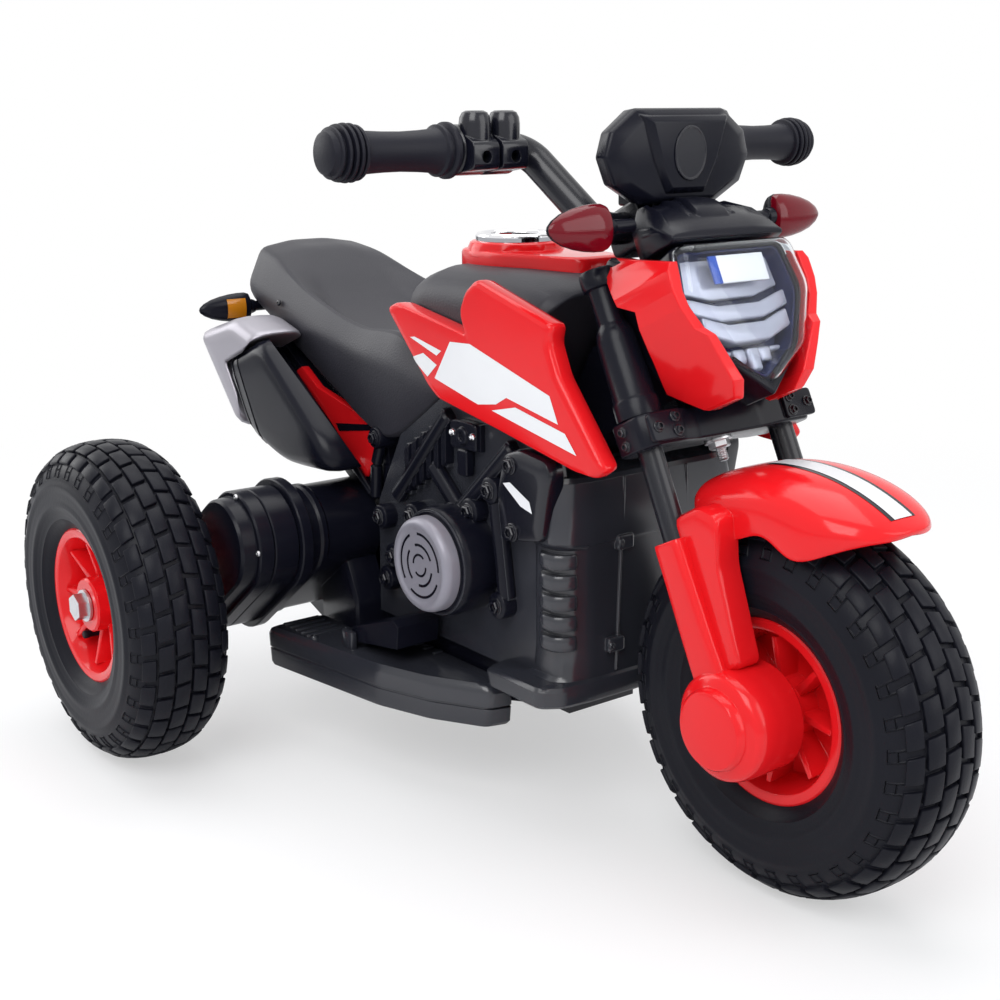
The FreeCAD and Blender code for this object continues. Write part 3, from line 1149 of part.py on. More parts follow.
button = new_body("start_button")
pad(button, ring(sketch_on(button, "XY_Plane", base_top - S.button_height + S.button_travel + S.free_gap),
                 console_x, button_y,
                 S.button_diameter / 2), S.button_height)
rocker = new_body("direction_rocker")
rocker_z = base_top
half_l, half_w = S.rocker_length / 2, S.rocker_width / 2
spot = trace(sketch_on(rocker, "XZ_Plane", -rocker_y - half_w), [
    (console_x - half_l, rocker_z - S.panel_height), (console_x, rocker_z - S.panel_height * 2),
    (console_x + half_l, rocker_z - S.panel_height), (console_x + half_l, rocker_z + S.panel_height),
    (console_x, rocker_z + S.panel_height * 0.5), (console_x - half_l, rocker_z + S.panel_height)])
pad(rocker, spot, S.rocker_width)
pad(rocker, ring(sketch_on(rocker, "XZ_Plane", -rocker_y - pin_reach), console_x, pin_z, S.rocker_pin / 2),
    pin_reach * 2)

# Seat: a dished shell lofted from tail to nose, with a wing each side reaching forward under the tank panels.
seat = new_body("seat")
seat_station_shares = (-0.748, -0.66, -0.55, -0.40, -0.28, -0.2005)
# rows: half bottom, bottom, half side, side, half rim, rim, half dish, dish
seat_rows_shares = (
    (0.56, 0.880, 0.60, 0.905, 0.46, 0.980, 0.18, 1.000),
    (0.62, 0.850, 0.66, 0.880, 0.54, 0.970, 0.22, 0.985),
    (0.69, 0.812, 0.73, 0.855, 0.63, 0.925, 0.40, 0.890),
    (0.75, 0.765, 0.79, 0.825, 0.69, 0.880, 0.48, 0.835),
    (0.79, 0.720, 0.83, 0.800, 0.73, 0.865, 0.50, 0.838),
    (0.80, 0.720, 0.85, 0.800, 0.74, 0.880, 0.50, 0.862))


def seat_outline(row, inset=None):
    wide = [S.frame_half_width * row[n] for n in (0, 2, 4, 6)]
    tall = [S.frame_height * row[n] for n in (1, 3, 5, 7)]
    if inset is not None:
        wide = [w - inset for w in wide]
        tall = [tall[0] - inset] + [t - inset for t in tall[1:]]
    right = [(-w, t) for w, t in zip(wide, tall)]
    left = [(w, t) for w, t in zip(wide, tall)]
    return right[:1] + left + list(reversed(right[1:]))


loft(seat, [trace(sketch_on(seat, "YZ_Plane", S.frame_length * x), seat_outline(row))
            for x, row in zip(seat_station_shares, seat_rows_shares)])
loft(seat, [trace(sketch_on(seat, "YZ_Plane", S.frame_length * x), seat_outline(row, S.wall * 1.5))
            for x, row in zip(seat_station_shares[1:5], seat_rows_shares[1:5])], cut=True)
wing_shares = ((-0.29, 0.78), (-0.26, 0.715), (-0.208, 0.685), (-0.082, 0.752), (-0.086, 0.764),
               (-0.205, 0.838), (-0.26, 0.83))
wing = pad(seat, trace(sketch_on(seat, "XZ_Plane", S.shell_outer + S.wall / 4), side_path(wing_shares)),
           S.seat_wing)
mirror(seat, [wing])

# Tail: frame struts under the seat, red infill panels, lamp and signals.
tail = new_body("tail_frame")
strut_shares = ((-0.68, 0.828), (-0.655, 0.832), (-0.27, 0.555), (-0.27, 0.515), (-0.295, 0.51))
brace_shares = ((-0.30, 0.722), (-0.275, 0.712), (-0.255, 0.52), (-0.285, 0.515))
strut_in, strut_out = S.shell_inner - S.edge_round * 1.2, S.shell_inner
strut = pad(tail, trace(sketch_on(tail, "XZ_Plane", strut_in), side_path(strut_shares)), strut_out - strut_in)
brace = pad(tail, trace(sketch_on(tail, "XZ_Plane", strut_in), side_path(brace_shares)), strut_out - strut_in)
mirror(tail, [strut, brace])
for x1, z1 in ((-0.655, 0.808), (-0.282, 0.53)):
    tie = block(sketch_on(tail, "XZ_Plane"), (S.frame_length * (x1 - 0.012), S.frame_height * (z1 - 0.012)),
                (S.frame_length * (x1 + 0.016), S.frame_height * (z1 + 0.018)))
    pad(tail, tie, strut_out * 2, both=True)
panel_shares = ((-0.585, 0.7825), (-0.312, 0.716), (-0.296, 0.5748))
infill = new_body("tail_panels")
mirror(infill, [pad(infill, trace(sketch_on(infill, "XZ_Plane", strut_in + S.wall),
                                  side_path(panel_shares)), S.wall)])

lamp = new_body("tail_lamp")
lamp_shares = ((-0.744, 0.82), (-0.690, 0.815), (-0.690, 0.858), (-0.744, 0.876))
pad(lamp, trace(sketch_on(lamp, "XZ_Plane"), side_path(lamp_shares)), S.frame_half_width * 0.76, both=True)


def at_tail(body):
    body.Placement = Placement(Vector(0, 0, 0), Rotation(Vector(0, 0, 1), 180))
    move_to(body, S.frame_length * -0.722, None, S.frame_height * 0.853)


signal_pair("rear_signals", "rear_signal_lenses", at_tail, S.fork_half_width * 0.68, S.fork_half_width * 0.82,
            S.fork_half_width * 1.18, S.signal_diameter / 2, S.frame_half_width * 0.38)

# Muffler on the right, with a bright tip.
muffler_width = S.muffler_outer - S.muffler_inner
body_shares = ((-0.28, 0.575), (-0.295, 0.64), (-0.495, 0.828), (-0.63, 0.762), (-0.555, 0.63),
               (-0.50, 0.592),
               (-0.42, 0.566))
tip_shares = ((-0.4955, 0.8285), (-0.585, 0.858), (-0.722, 0.81), (-0.58, 0.612), (-0.5555, 0.63),
              (-0.6305, 0.7625))
muffler = new_body("muffler")
pad(muffler, trace(sketch_on(muffler, "XZ_Plane", S.muffler_inner), side_path(body_shares)), muffler_width)
rim_of = lambda e: not along_y(e) and abs(abs(e.CenterOfMass.y) - SIZES["muffler_outer"]) < 0.1
soften(muffler, rim_of, S.edge_round)
# a bracket reaches from the muffler to the tail strut
stay = block(sketch_on(muffler, "XZ_Plane", strut_out), (S.frame_length * -0.425, S.frame_height * 0.612),
             (S.frame_length * -0.385, S.frame_height * 0.645))
pad(muffler, stay, S.muffler_inner - strut_out + S.wall)
tip = new_body("muffler_tip")
pad(tip, trace(sketch_on(tip, "XZ_Plane", S.muffler_inner), side_path(tip_shares)), muffler_width)
soften(tip, rim_of, S.soft_round / 2)
outlet = sketch_on(tip, "YZ_Plane", S.frame_length * -0.66)
ring(outlet, -(S.muffler_inner + S.muffler_outer) / 2, S.frame_height * 0.812, S.edge_round)
pocket(tip, outlet, S.overrun)

# Footboards beside the tray, open below; the right one carries the lugs of the accelerator pedal.
boards = new_body("footboards")
board_plan_shares = ((-0.40, 1.52), (-0.12, 1.30), (-0.04, 1.08), (-0.02, 0.73), (-0.40, 0.73))
board_height = S.board_top - S.board_bottom
plan = [(S.frame_length * x, -S.frame_half_width * y) for x, y in board_plan_shares[:3]]
inner_edge = S.tray_half_width
# the fairing stands in a notch at the back of the inner edge
notch_x, notch_edge = S.frame_length * -0.277, S.frame_half_width
plan += [(S.frame_length * -0.02, -inner_edge), (notch_x, -inner_edge), (notch_x, -notch_edge),
         (S.frame_length * -0.40, -notch_edge)]
board = pad(boards, trace(sketch_on(boards, "XY_Plane", S.board_bottom), plan), board_height)
hollow_plan = [(S.frame_length * -0.392, -S.frame_half_width * 1.47),
               (S.frame_length * -0.125, -S.frame_half_width * 1.255),
               (S.frame_length * -0.05, -S.frame_half_width * 1.05),
               (S.frame_length * -0.032, -inner_edge - S.wall),
               (notch_x + S.wall, -inner_edge - S.wall), (notch_x + S.wall, -notch_edge - S.wall),
               (S.frame_length * -0.392, -notch_edge - S.wall)]
hollow = pocket(boards, trace(sketch_on(boards, "XY_Plane", S.board_bottom), hollow_plan),
                board_height - S.wall, back=True)
mirror(boards, [board, hollow])
pedal_x, pedal_z = S.frame_length * -0.215, S.board_top + S.pedal_pin
pedal_y = S.frame_half_width * 1.05
lug_r = S.pedal_pin
half_pedal = S.pedal_width / 2
for lug_start in (pedal_y - half_pedal - S.free_gap - S.wall * 1.5, pedal_y + half_pedal + S.free_gap):
    lug = block(sketch_on(boards, "XZ_Plane", lug_start), (pedal_x - lug_r, S.board_top - S.wall / 2),
                (pedal_x + lug_r, pedal_z + lug_r))
    pad(boards, lug, S.wall * 1.5)
pin_hole = ring(sketch_on(boards, "XZ_Plane", pedal_y - half_pedal - S.free_gap - S.wall * 1.5), pedal_x,
                pedal_z,
                S.pedal_pin / 2 + S.run_gap)
pocket(boards, pin_hole, S.pedal_width + S.free_gap * 2 + S.wall * 3, back=True)

pedal = new_body("accelerator_pedal")
pedal_shares = ((-0.225, 0.253), (-0.09, 0.28), (-0.085, 0.325), (-0.10, 0.335), (-0.215, 0.285),
                (-0.226, 0.27))
pad(pedal, trace(sketch_on(pedal, "XZ_Plane", pedal_y - half_pedal), side_path(pedal_shares)), S.pedal_width)
pad(pedal, ring(sketch_on(pedal, "XZ_Plane", pedal_y - half_pedal - S.wall), pedal_x, pedal_z,
                S.pedal_pin / 2),
    S.pedal_width + S.wall * 2)

# Battery, control board and charge socket.
battery = new_body("battery")
battery_low = S.board_bottom + S.wall
spot = block(sketch_on(battery, "XY_Plane", battery_low), (S.frame_length * -0.20, -S.battery_width / 2),
             (S.frame_length * -0.20 + S.battery_length, S.battery_width / 2))
pad(battery, spot, S.battery_height)
for wide_share in (-0.28, 0.28):
    tab = block(sketch_on(battery, "XY_Plane", battery_low + S.battery_height),
                (S.frame_length * -0.18, S.battery_width * wide_share - S.wall / 2),
                (S.frame_length * -0.18 + S.edge_round, S.battery_width * wide_share + S.wall / 2))
    pad(battery, tab, S.wall * 1.5)
controls = new_body("control_board")
board_low = battery_low + S.battery_height + S.edge_round * 2
spot = block(sketch_on(controls, "XY_Plane", board_low), (S.frame_length * -0.18, -S.shell_inner),
             (S.frame_length * -0.18 + S.board_length, S.shell_inner))
pad(controls, spot, S.wall)
spot = block(sketch_on(controls, "XY_Plane", board_low + S.wall),
             (S.frame_length * -0.16, -S.board_width / 2),
             (S.frame_length * -0.16 + S.board_length * 0.7, S.board_width / 2))
pad(controls, spot, S.board_height)

charge = new_body("charge_socket")
socket_face = S.shell_outer + S.wall
flap_face = socket_face + S.soft_round / 2
flap_half = S.socket_flap / 2
plate_low = socket_z - S.socket_plate_height / 2
# a plate for two screws, a square flap with the plug's hole, and the flap's tab below
plate = block(sketch_on(charge, "XZ_Plane", S.shell_outer),
              (socket_x - S.socket_plate_length * 0.44, plate_low),
              (socket_x + S.socket_plate_length * 0.56, socket_z + S.socket_plate_height / 2))
pad(charge, plate, S.wall)
flap = block(sketch_on(charge, "XZ_Plane", S.shell_outer), (socket_x - flap_half, socket_z - flap_half),
             (socket_x + flap_half, socket_z + flap_half))
pad(charge, flap, flap_face - S.shell_outer)
tab = block(sketch_on(charge, "XZ_Plane", S.shell_outer),
            (socket_x - flap_half * 0.7, plate_low - S.socket_flap * 0.85),
            (socket_x + flap_half * 0.7, plate_low))
pad(charge, tab, S.wall)
pad(charge, ring(sketch_on(charge, "XZ_Plane", socket_face - S.socket_depth), socket_x, socket_z,
                 S.socket_diameter / 2 - S.wall), S.socket_depth)
pocket(charge, ring(sketch_on(charge, "XZ_Plane", flap_face), socket_x, socket_z, S.socket_bore / 2),
       S.socket_bore_depth)


doc.recompute()
for label, piece in PARTS.items():
    bad = [word for word in piece.State if word in ("Invalid", "Error")]
    if bad or piece.Shape.isNull() or not piece.Shape.isValid():
        raise RuntimeError("piece %s did not build" % label)
for item in doc.Objects:
    if "Invalid" in item.State or "Error" in item.State:
        raise RuntimeError("object %s did not build" % item.Name)
for label, piece in PARTS.items():
    piece.Shape.exportStep("parts/%s.step" % label)
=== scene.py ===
"""Looks of a ride-on motorbike: finishes, detailed pieces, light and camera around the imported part.

Lengths are millimetres up to where a mesh is made. x runs forward, y to the left and z up.
"""

from __future__ import annotations

import json
import logging
import math
from contextlib import contextmanager
from dataclasses import dataclass, field
from enum import Enum
from typing import Callable, Iterator, Sequence

import bmesh
import bpy
from mathutils import Matrix, Vector

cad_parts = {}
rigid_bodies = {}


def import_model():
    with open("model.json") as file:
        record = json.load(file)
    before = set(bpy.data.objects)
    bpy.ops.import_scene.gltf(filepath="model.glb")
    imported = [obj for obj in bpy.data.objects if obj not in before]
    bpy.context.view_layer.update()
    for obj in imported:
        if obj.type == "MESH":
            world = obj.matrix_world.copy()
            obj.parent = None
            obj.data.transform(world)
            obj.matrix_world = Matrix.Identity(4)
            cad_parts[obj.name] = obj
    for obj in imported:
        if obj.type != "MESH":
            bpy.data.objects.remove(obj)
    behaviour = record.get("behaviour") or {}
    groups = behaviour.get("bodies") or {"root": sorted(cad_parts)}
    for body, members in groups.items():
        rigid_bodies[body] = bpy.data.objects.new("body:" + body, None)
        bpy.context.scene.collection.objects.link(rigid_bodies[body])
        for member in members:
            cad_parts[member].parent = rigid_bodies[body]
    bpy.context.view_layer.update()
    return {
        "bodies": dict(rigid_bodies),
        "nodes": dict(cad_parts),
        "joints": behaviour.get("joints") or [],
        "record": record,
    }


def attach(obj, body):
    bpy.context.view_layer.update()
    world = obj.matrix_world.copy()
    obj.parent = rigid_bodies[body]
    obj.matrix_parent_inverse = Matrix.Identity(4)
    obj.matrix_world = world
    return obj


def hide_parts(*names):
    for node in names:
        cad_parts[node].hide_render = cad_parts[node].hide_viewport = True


LOG = logging.getLogger("motorbike")
Point = tuple[float, float, float]
Pair = tuple[float, float]
Corners = tuple[Pair, Pair]
Outline = Sequence[Pair]
Rows = Sequence[Sequence[float]]
Rings = list[list[Point]]
Plane = tuple[Point, Point]
Place = Callable[[float, float, float], Point]
Piece = bpy.types.Object

MM = 0.001
SIDES = {-1: "right", 1: "left"}
FRONT_AXLE = (246.5, 0.0, 130.0)
REAR_AXLE = (-246.5, 0.0, 130.0)
MOTOR = (-182.9, 0.0, 177.7)
RAKE = math.radians(25.8)
STEER_AXIS = (-math.sin(RAKE), 0.0, math.cos(RAKE))
FORK_FACE = (math.cos(RAKE), 0.0, math.sin(RAKE))
SPEAKER = (-14.0, 186.0)
UP = (0.0, 0.0, 1.0)
LARGE_ROUND = 96


class Grain(Enum):
    """Surface texture of a finish."""

    SMOOTH = "smooth"
    MOULDED = "moulded"
    LEATHER = "leather"
    BRUSHED = "brushed"
    RIBBED = "ribbed"


class Graph:
    """A node tree that is filled by short calls."""

    def __init__(self, owner: bpy.types.Material | bpy.types.World) -> None:
        """Opens the tree of a material or world.

        Args:
            owner: What the tree belongs to.
        """
        owner.use_nodes = True
        self.nodes, self.links = owner.node_tree.nodes, owner.node_tree.links

    def feed(self, node: bpy.types.Node, inputs: dict[str | int, object]) -> None:
        """Fills sockets of a node.

        Args:
            node: The node.
            inputs: For each socket a value, or an output to link it to.
        """
        for key, value in inputs.items():
            if isinstance(value, bpy.types.NodeSocket):
                self.links.new(value, node.inputs[key])
            else:
                node.inputs[key].default_value = value

    def add(self, kind: str, inputs: dict[str | int, object], out: str,
            **settings: str) -> bpy.types.NodeSocket:
        """Adds a node.

        Args:
            kind: Its type, without the common first word.
            inputs: What its sockets hold.
            out: The output that is wanted.
            settings: Properties of the node.

        Returns:
            That output.
        """
        node = self.nodes.new("ShaderNode" + kind)
        for key, value in settings.items():
            setattr(node, key, value)
        self.feed(node, inputs)
        return node.outputs[out]


@dataclass(frozen=True)
class Finish:
    """One procedural finish: colour, gloss and the fine texture of its surface."""

    name: str
    colour: Point
    roughness: float
    grain: Grain = Grain.MOULDED
    slot: str = ""
    metallic: float = 0.0
    coat: float = 0.0
    depth: float = 0.1
    scale: float = 900.0
    mottle: float = 0.08
    transmission: float = 0.0
    ior: float = 1.48
    specular: float = 0.5

    def shade(self, share: float) -> tuple[float, ...]:
        """The colour, lighter or darker, with full alpha."""
        return (*(min(1.0, c * share) for c in self.colour), 1.0)

    def make(self) -> bpy.types.Material:
        """Builds the material.

        Returns:
            A node material on Object coordinates.
        """
        material = bpy.data.materials.new(self.name)
        graph = Graph(material)
        place = graph.add("TexCoord", {}, "Object")
        cloud = graph.add("TexNoise", {"Vector": place, "Scale": 14.0, "Detail": 6.0}, "Fac")
        shades = {"A": self.shade(1.0 - self.mottle), "B": self.shade(1.0 + self.mottle), "Factor": cloud}
        worn = {"Value": cloud, "To Min": self.roughness * 0.85, "To Max": min(1.0, self.roughness * 1.2)}
        surface = {
            "Base Color": graph.add("Mix", shades, "Result", data_type="RGBA"),
            "Roughness": graph.add("MapRange", worn, "Result"), "Metallic": self.metallic, "IOR": self.ior,
            "Specular IOR Level": self.specular, "Coat Weight": self.coat, "Coat Roughness": 0.06,
            "Transmission Weight": self.transmission,
        }
        if self.grain is not Grain.SMOOTH:
            surface["Normal"] = self.bump(graph, place)
        graph.feed(graph.nodes["Principled BSDF"], surface)
        return material

    def bump(self, graph: Graph, place: bpy.types.NodeSocket) -> bpy.types.NodeSocket:
        """Adds the fine bump on softened edges.

        Args:
            graph: The material's tree.
            place: The texture coordinate.

        Returns:
            The bumped normal.
        """
        stretch = (0.12, 1.0, 1.0) if self.grain is Grain.BRUSHED else (1.0, 1.0, 1.0)
        spread = graph.add("Mapping", {"Vector": place, "Scale": stretch}, "Vector")
        fine = {"Vector": spread, "Scale": self.scale}
        if self.grain is Grain.LEATHER:
            height = graph.add("TexVoronoi", fine, "Distance", feature="SMOOTH_F1")
        elif self.grain is Grain.RIBBED:
            height = graph.add("TexWave", fine, "Fac", bands_direction="Z")
        else:
            height = graph.add("TexNoise", {**fine, "Detail": 3.0}, "Fac")
        edge = graph.add("Bevel", {"Radius": 0.8 * MM}, "Normal")
        relief = {"Strength": self.depth, "Distance": 0.6 * MM, "Height": height, "Normal": edge}
        return graph.add("Bump", relief, "Normal")


RED = Finish("red_gloss", (0.74, 0.010, 0.014), 0.15, coat=0.15, depth=0.03, scale=500, mottle=0.05,
             specular=0.22)
BLACK = Finish("black_satin", (0.0056, 0.0060, 0.0112), 0.23, depth=0.12, scale=1400, mottle=0.15,
               specular=0.17)
BLACK_GLOSS = Finish("black_gloss", (0.0050, 0.0054, 0.0105), 0.2, slot="black_satin", coat=0.12, depth=0.04,
                     scale=700, specular=0.4)
# Black satin with a raised base colour: painted light and painted reflection on the engine shells, front
# shell and footboards.
HULL_BLACK_PAINTED_LIGHT = Finish("hull_black_painted_light", (0.0240, 0.0255, 0.0330), 0.21, slot="black_satin", depth=0.08, scale=1100,
                    mottle=0.15, specular=0.6)
SEAT_SKIN = Finish("seat_black", (0.0210, 0.0205, 0.0275), 0.46, Grain.LEATHER, "black_seat", depth=0.22,
                   scale=760, mottle=0.18, specular=0.34)
TYRE = Finish("tyre_rubber", (0.0062, 0.0066, 0.0108), 0.40, depth=0.2, scale=520, mottle=0.3, specular=0.14)
GRIP = Finish("grip_rubber", (0.0068, 0.0070, 0.0125), 0.46, depth=0.2, mottle=0.2, specular=0.2)
STEEL = Finish("steel", (0.56, 0.56, 0.58), 0.32, Grain.BRUSHED, metallic=1.0, depth=0.15)
CHROME = Finish("chrome", (0.82, 0.82, 0.84), 0.06, Grain.SMOOTH, metallic=1.0, mottle=0.03)
GREY = Finish("grey_plastic", (0.25, 0.243, 0.285), 0.4, metallic=0.25)
SILVER = Finish("silver_plastic", (0.36, 0.345, 0.385), 0.34, metallic=0.45, depth=0.06)
CLEAR = Finish("clear_lens", (0.93, 0.96, 1.0), 0.03, Grain.SMOOTH, transmission=1.0, mottle=0.02, ior=1.22)
AMBER = Finish("amber_lens", (0.95, 0.33, 0.015), 0.12, transmission=0.45, depth=0.2, scale=260)
RED_LENS = Finish("red_lens", (0.13, 0.002, 0.008), 0.05, Grain.RIBBED, depth=0.03, scale=420, specular=0.3)
WHITE = Finish("white_gloss", (0.80, 0.81, 0.83), 0.25, slot="reflector", depth=0.03)
SILVER_BAND = Finish("silver_band", (0.72, 0.72, 0.74), 0.3, slot="reflector", metallic=0.2, depth=0.03)
SMOKE = Finish("reflector_dark", (0.008, 0.012, 0.055), 0.18, slot="reflector", depth=0.03, specular=0.3)
SHINE = Finish("reflector", (0.40, 0.41, 0.49), 0.24, metallic=0.3, depth=0.05, scale=300)
BLUE = Finish("plate_blue", (0.01, 0.07, 0.42), 0.3, Grain.SMOOTH, "reflector")
BATTERY = Finish("battery_case", (0.03, 0.03, 0.035), 0.6)
BOARD = Finish("board_green", (0.02, 0.16, 0.06), 0.4)
NYLON = Finish("gear_nylon", (0.72, 0.71, 0.66), 0.45)
BAR = Finish("bar_black", (0.0074, 0.0078, 0.0125), 0.26, coat=0.1, depth=0.05, specular=0.35)
BUTTON = Finish("button_red", (0.62, 0.02, 0.022), 0.25, Grain.SMOOTH)

SLOT_FINISH: dict[str, Finish] = {
    finish.slot or finish.name: finish
    for finish in (RED, BLACK, SEAT_SKIN, TYRE, GRIP, STEEL, CHROME, GREY, SILVER, CLEAR, AMBER,
                   RED_LENS, SHINE, BATTERY, BOARD, NYLON, BAR, BUTTON)
}
# The engine shells take the black whose raised base colour is painted light.
NODE_FINISH: dict[str, Finish] = {"engine_shell_right": HULL_BLACK_PAINTED_LIGHT, "engine_shell_left": HULL_BLACK_PAINTED_LIGHT}


@dataclass
class Paint:
    """Keeps one material for each finish."""

    made: dict[str, bpy.types.Material] = field(default_factory=dict)

    def of(self, finish: Finish) -> bpy.types.Material:
        """The material of a finish.

        Args:
            finish: The finish wanted.

        Returns:
            Its material, made at first use.
        """
        if finish.name not in self.made:
            self.made[finish.name] = finish.make()
        return self.made[finish.name]


def pick(*pieces: Piece) -> None:
    """Makes some pieces the only selected ones.

    Args:
        pieces: The pieces, of which the first becomes active.
    """
    bpy.ops.object.select_all(action="DESELECT")
    for piece in pieces:
        piece.select_set(True)
    if pieces:
        bpy.context.view_layer.objects.active = pieces[0]


@contextmanager
def editing(piece: Piece) -> Iterator[None]:
    """Holds a piece in edit mode, with its whole mesh selected at the start.

    Args:
        piece: The piece.
    """
    pick(piece)
    bpy.ops.object.mode_set(mode="EDIT")
    bpy.ops.mesh.select_all(action="SELECT")
    yield
    bpy.ops.object.mode_set(mode="OBJECT")


def face_out() -> None:
    """Turns all faces of the mesh in edit mode outwards."""
    bpy.ops.mesh.select_all(action="SELECT")
    bpy.ops.mesh.normals_make_consistent(inside=False)


def hoop(spots: Sequence[Point]) -> Piece:
    """Starts a piece as one closed loop of edges.

    Args:
        spots: Its points.

    Returns:
        The loop.
    """
    pick()
    bpy.ops.mesh.primitive_circle_add(vertices=len(spots), radius=1.0, fill_type="NOTHING")
    piece = bpy.context.object
    for vertex, spot in zip(piece.data.vertices, spots):
        vertex.co = Vector(spot) * MM
    return piece


def skin(rings: Rings) -> Piece:
    """Extrudes a loop of edges through a row of sections and fills both ends.

    Args:
        rings: Sections with one count of points each.

    Returns:
        The closed skin.
    """
    piece = hoop(rings[0])
    with editing(piece):
        bpy.ops.mesh.select_mode(type="VERT")
        bpy.ops.mesh.select_all(action="SELECT")
        place = {index: index for index in range(len(rings[0]))}
        for ring in rings[1:]:
            bpy.ops.mesh.extrude_edges_move()
            mesh = bmesh.from_edit_mesh(piece.data)
            mesh.verts.index_update()
            for vertex in [v for v in mesh.verts if v.select]:
                near = (edge.other_vert(vertex) for edge in vertex.link_edges)
                place[vertex.index] = place[next(v for v in near if not v.select).index]
                vertex.co = Vector(ring[place[vertex.index]]) * MM
            bmesh.update_edit_mesh(piece.data)
        bpy.ops.mesh.edge_face_add()
        bpy.ops.mesh.select_all(action="DESELECT")
        mesh = bmesh.from_edit_mesh(piece.data)
        mesh.verts.ensure_lookup_table()
        for index in range(len(rings[0])):
            mesh.verts[index].select = True
        mesh.select_flush(True)
        bmesh.update_edit_mesh(piece.data)
        bpy.ops.mesh.edge_face_add()
        face_out()
    return piece


def lathe(profile: Outline, steps: int) -> Piece:
    """Spins a closed profile about the y axis.

    Args:
        profile: Points as radius and place along the axis.
        steps: Steps in the turn.

    Returns:
        The turned piece.
    """
    piece = hoop([(0.0, along, radius) for radius, along in profile])
    with editing(piece):
        bpy.ops.mesh.spin(steps=steps, angle=math.tau, center=(0.0, 0.0, 0.0), axis=(0.0, 1.0, 0.0))
        bpy.ops.mesh.select_all(action="SELECT")
        bpy.ops.mesh.remove_doubles(threshold=MM * MM)
        bpy.ops.mesh.dissolve_degenerate(threshold=MM * MM)
        bpy.ops.mesh.delete_loose()
        face_out()
    return piece


def block(size: Point, at: Point, edge: float, cuts: int = 0) -> Piece:
    """Adds a box, softens its edges and divides it.

    Args:
        size: Its three lengths.
        at: Its middle.
        edge: Bevel width.
        cuts: Cuts along every edge after the bevel.

    Returns:
        The block, its place in its mesh.
    """
    pick()
    bpy.ops.mesh.primitive_cube_add(size=1.0)
    piece = bpy.context.object
    piece.data.transform(Matrix.Scale(MM, 4) @ Matrix.Translation(at) @ Matrix.Diagonal((*size, 1.0)))
    with editing(piece):
        bpy.ops.mesh.bevel(offset=edge * MM, offset_type="OFFSET", segments=2, affect="EDGES")
        if cuts:
            bpy.ops.mesh.select_all(action="SELECT")
            bpy.ops.mesh.subdivide(number_cuts=cuts)
    return piece


def modify(piece: Piece, kind: str, **settings: object) -> Piece:
    """Adds one modifier and applies it.

    Args:
        piece: The piece.
        kind: Modifier type.
        settings: Values of the modifier.

    Returns:
        The same piece.
    """
    pick(piece)
    modifier = piece.modifiers.new(kind.lower(), kind)
    for key, value in settings.items():
        setattr(modifier, key, value)
    bpy.ops.object.modifier_apply(modifier=modifier.name)
    return piece


def smooth(piece: Piece, angle: float) -> Piece:
    """Shades a piece smooth where its faces meet at less than an angle.

    Args:
        piece: The piece.
        angle: In degrees.

    Returns:
        The same piece.
    """
    pick(piece)
    bpy.ops.object.shade_smooth_by_angle(angle=math.radians(angle))
    return piece


def join(pieces: Sequence[Piece]) -> Piece:
    """Joins pieces into the first of them.

    Args:
        pieces: Pieces to join.

    Returns:
        The joined piece.
    """
    pick(*pieces)
    if len(pieces) > 1:
        bpy.ops.object.join()
    return pieces[0]


def copied(piece: Piece, move: Matrix) -> Piece:
    """A copy with its own mesh.

    Args:
        piece: What is copied.
        move: Where the copy goes.

    Returns:
        The copy.
    """
    twin = piece.copy()
    twin.data = piece.data.copy()
    bpy.context.scene.collection.objects.link(twin)
    twin.data.transform(move)
    return twin


def spun(piece: Piece, count: int) -> Piece:
    """Repeats a piece round the y axis and joins the copies.

    Args:
        piece: The first one.
        count: How many in a full turn.

    Returns:
        All of them as one piece.
    """
    turns = [Matrix.Rotation(math.tau * number / count, 4, "Y") for number in range(1, count)]
    return join([piece] + [copied(piece, turn) for turn in turns])


def cut(piece: Piece, spot: Vector, way: Vector) -> Piece:
    """Cuts off what lies beyond a plane and closes the cut.

    Args:
        piece: The piece.
        spot: A point on the plane.
        way: The direction that goes.

    Returns:
        The same piece.
    """
    with editing(piece):
        bpy.ops.mesh.bisect(plane_co=spot * MM, plane_no=way, clear_outer=True, use_fill=True)
    return piece


def solid(rings: Rings, edge: float = 0.0, angle: float = 38.0) -> Piece:
    """A closed skin with softened edges.

    Args:
        rings: Its sections.
        edge: Bevel width.
        angle: Shading angle in degrees.

    Returns:
        The shaded solid.
    """
    piece = skin(rings)
    if edge:
        modify(piece, "BEVEL", width=edge * MM, segments=3, limit_method="ANGLE",
               angle_limit=math.radians(28.0))
    return smooth(piece, angle)


def turned(profile: Outline, at: Point, axis: Point, steps: int = 40) -> Piece:
    """Turns a profile about any axis.

    Args:
        profile: Radius and place along the axis.
        at: Where the axis starts.
        axis: Its direction.
        steps: Steps in the turn.

    Returns:
        The turned piece.
    """
    piece = lathe(profile, steps)
    turn = Vector((0.0, 1.0, 0.0)).rotation_difference(Vector(axis)).to_matrix().to_4x4()
    piece.data.transform(Matrix.Translation(Vector(at) * MM) @ turn)
    return smooth(piece, 35.0)


def outward(side: int) -> Point:
    """The direction out to one side."""
    return (0.0, float(side), 0.0)


def knob(profile: Outline, x: float, z: float, side: int, steps: int) -> Piece:
    """Turns a profile about a line across the bike, out from the middle plane.

    Args:
        profile: Radius and distance from the middle plane.
        x: Place of the line along the bike.
        z: Its height.
        side: Minus one for the right, one for the left.
        steps: Steps in the turn.

    Returns:
        The turned piece.
    """
    return turned(profile, (x, 0.0, z), outward(side), steps)


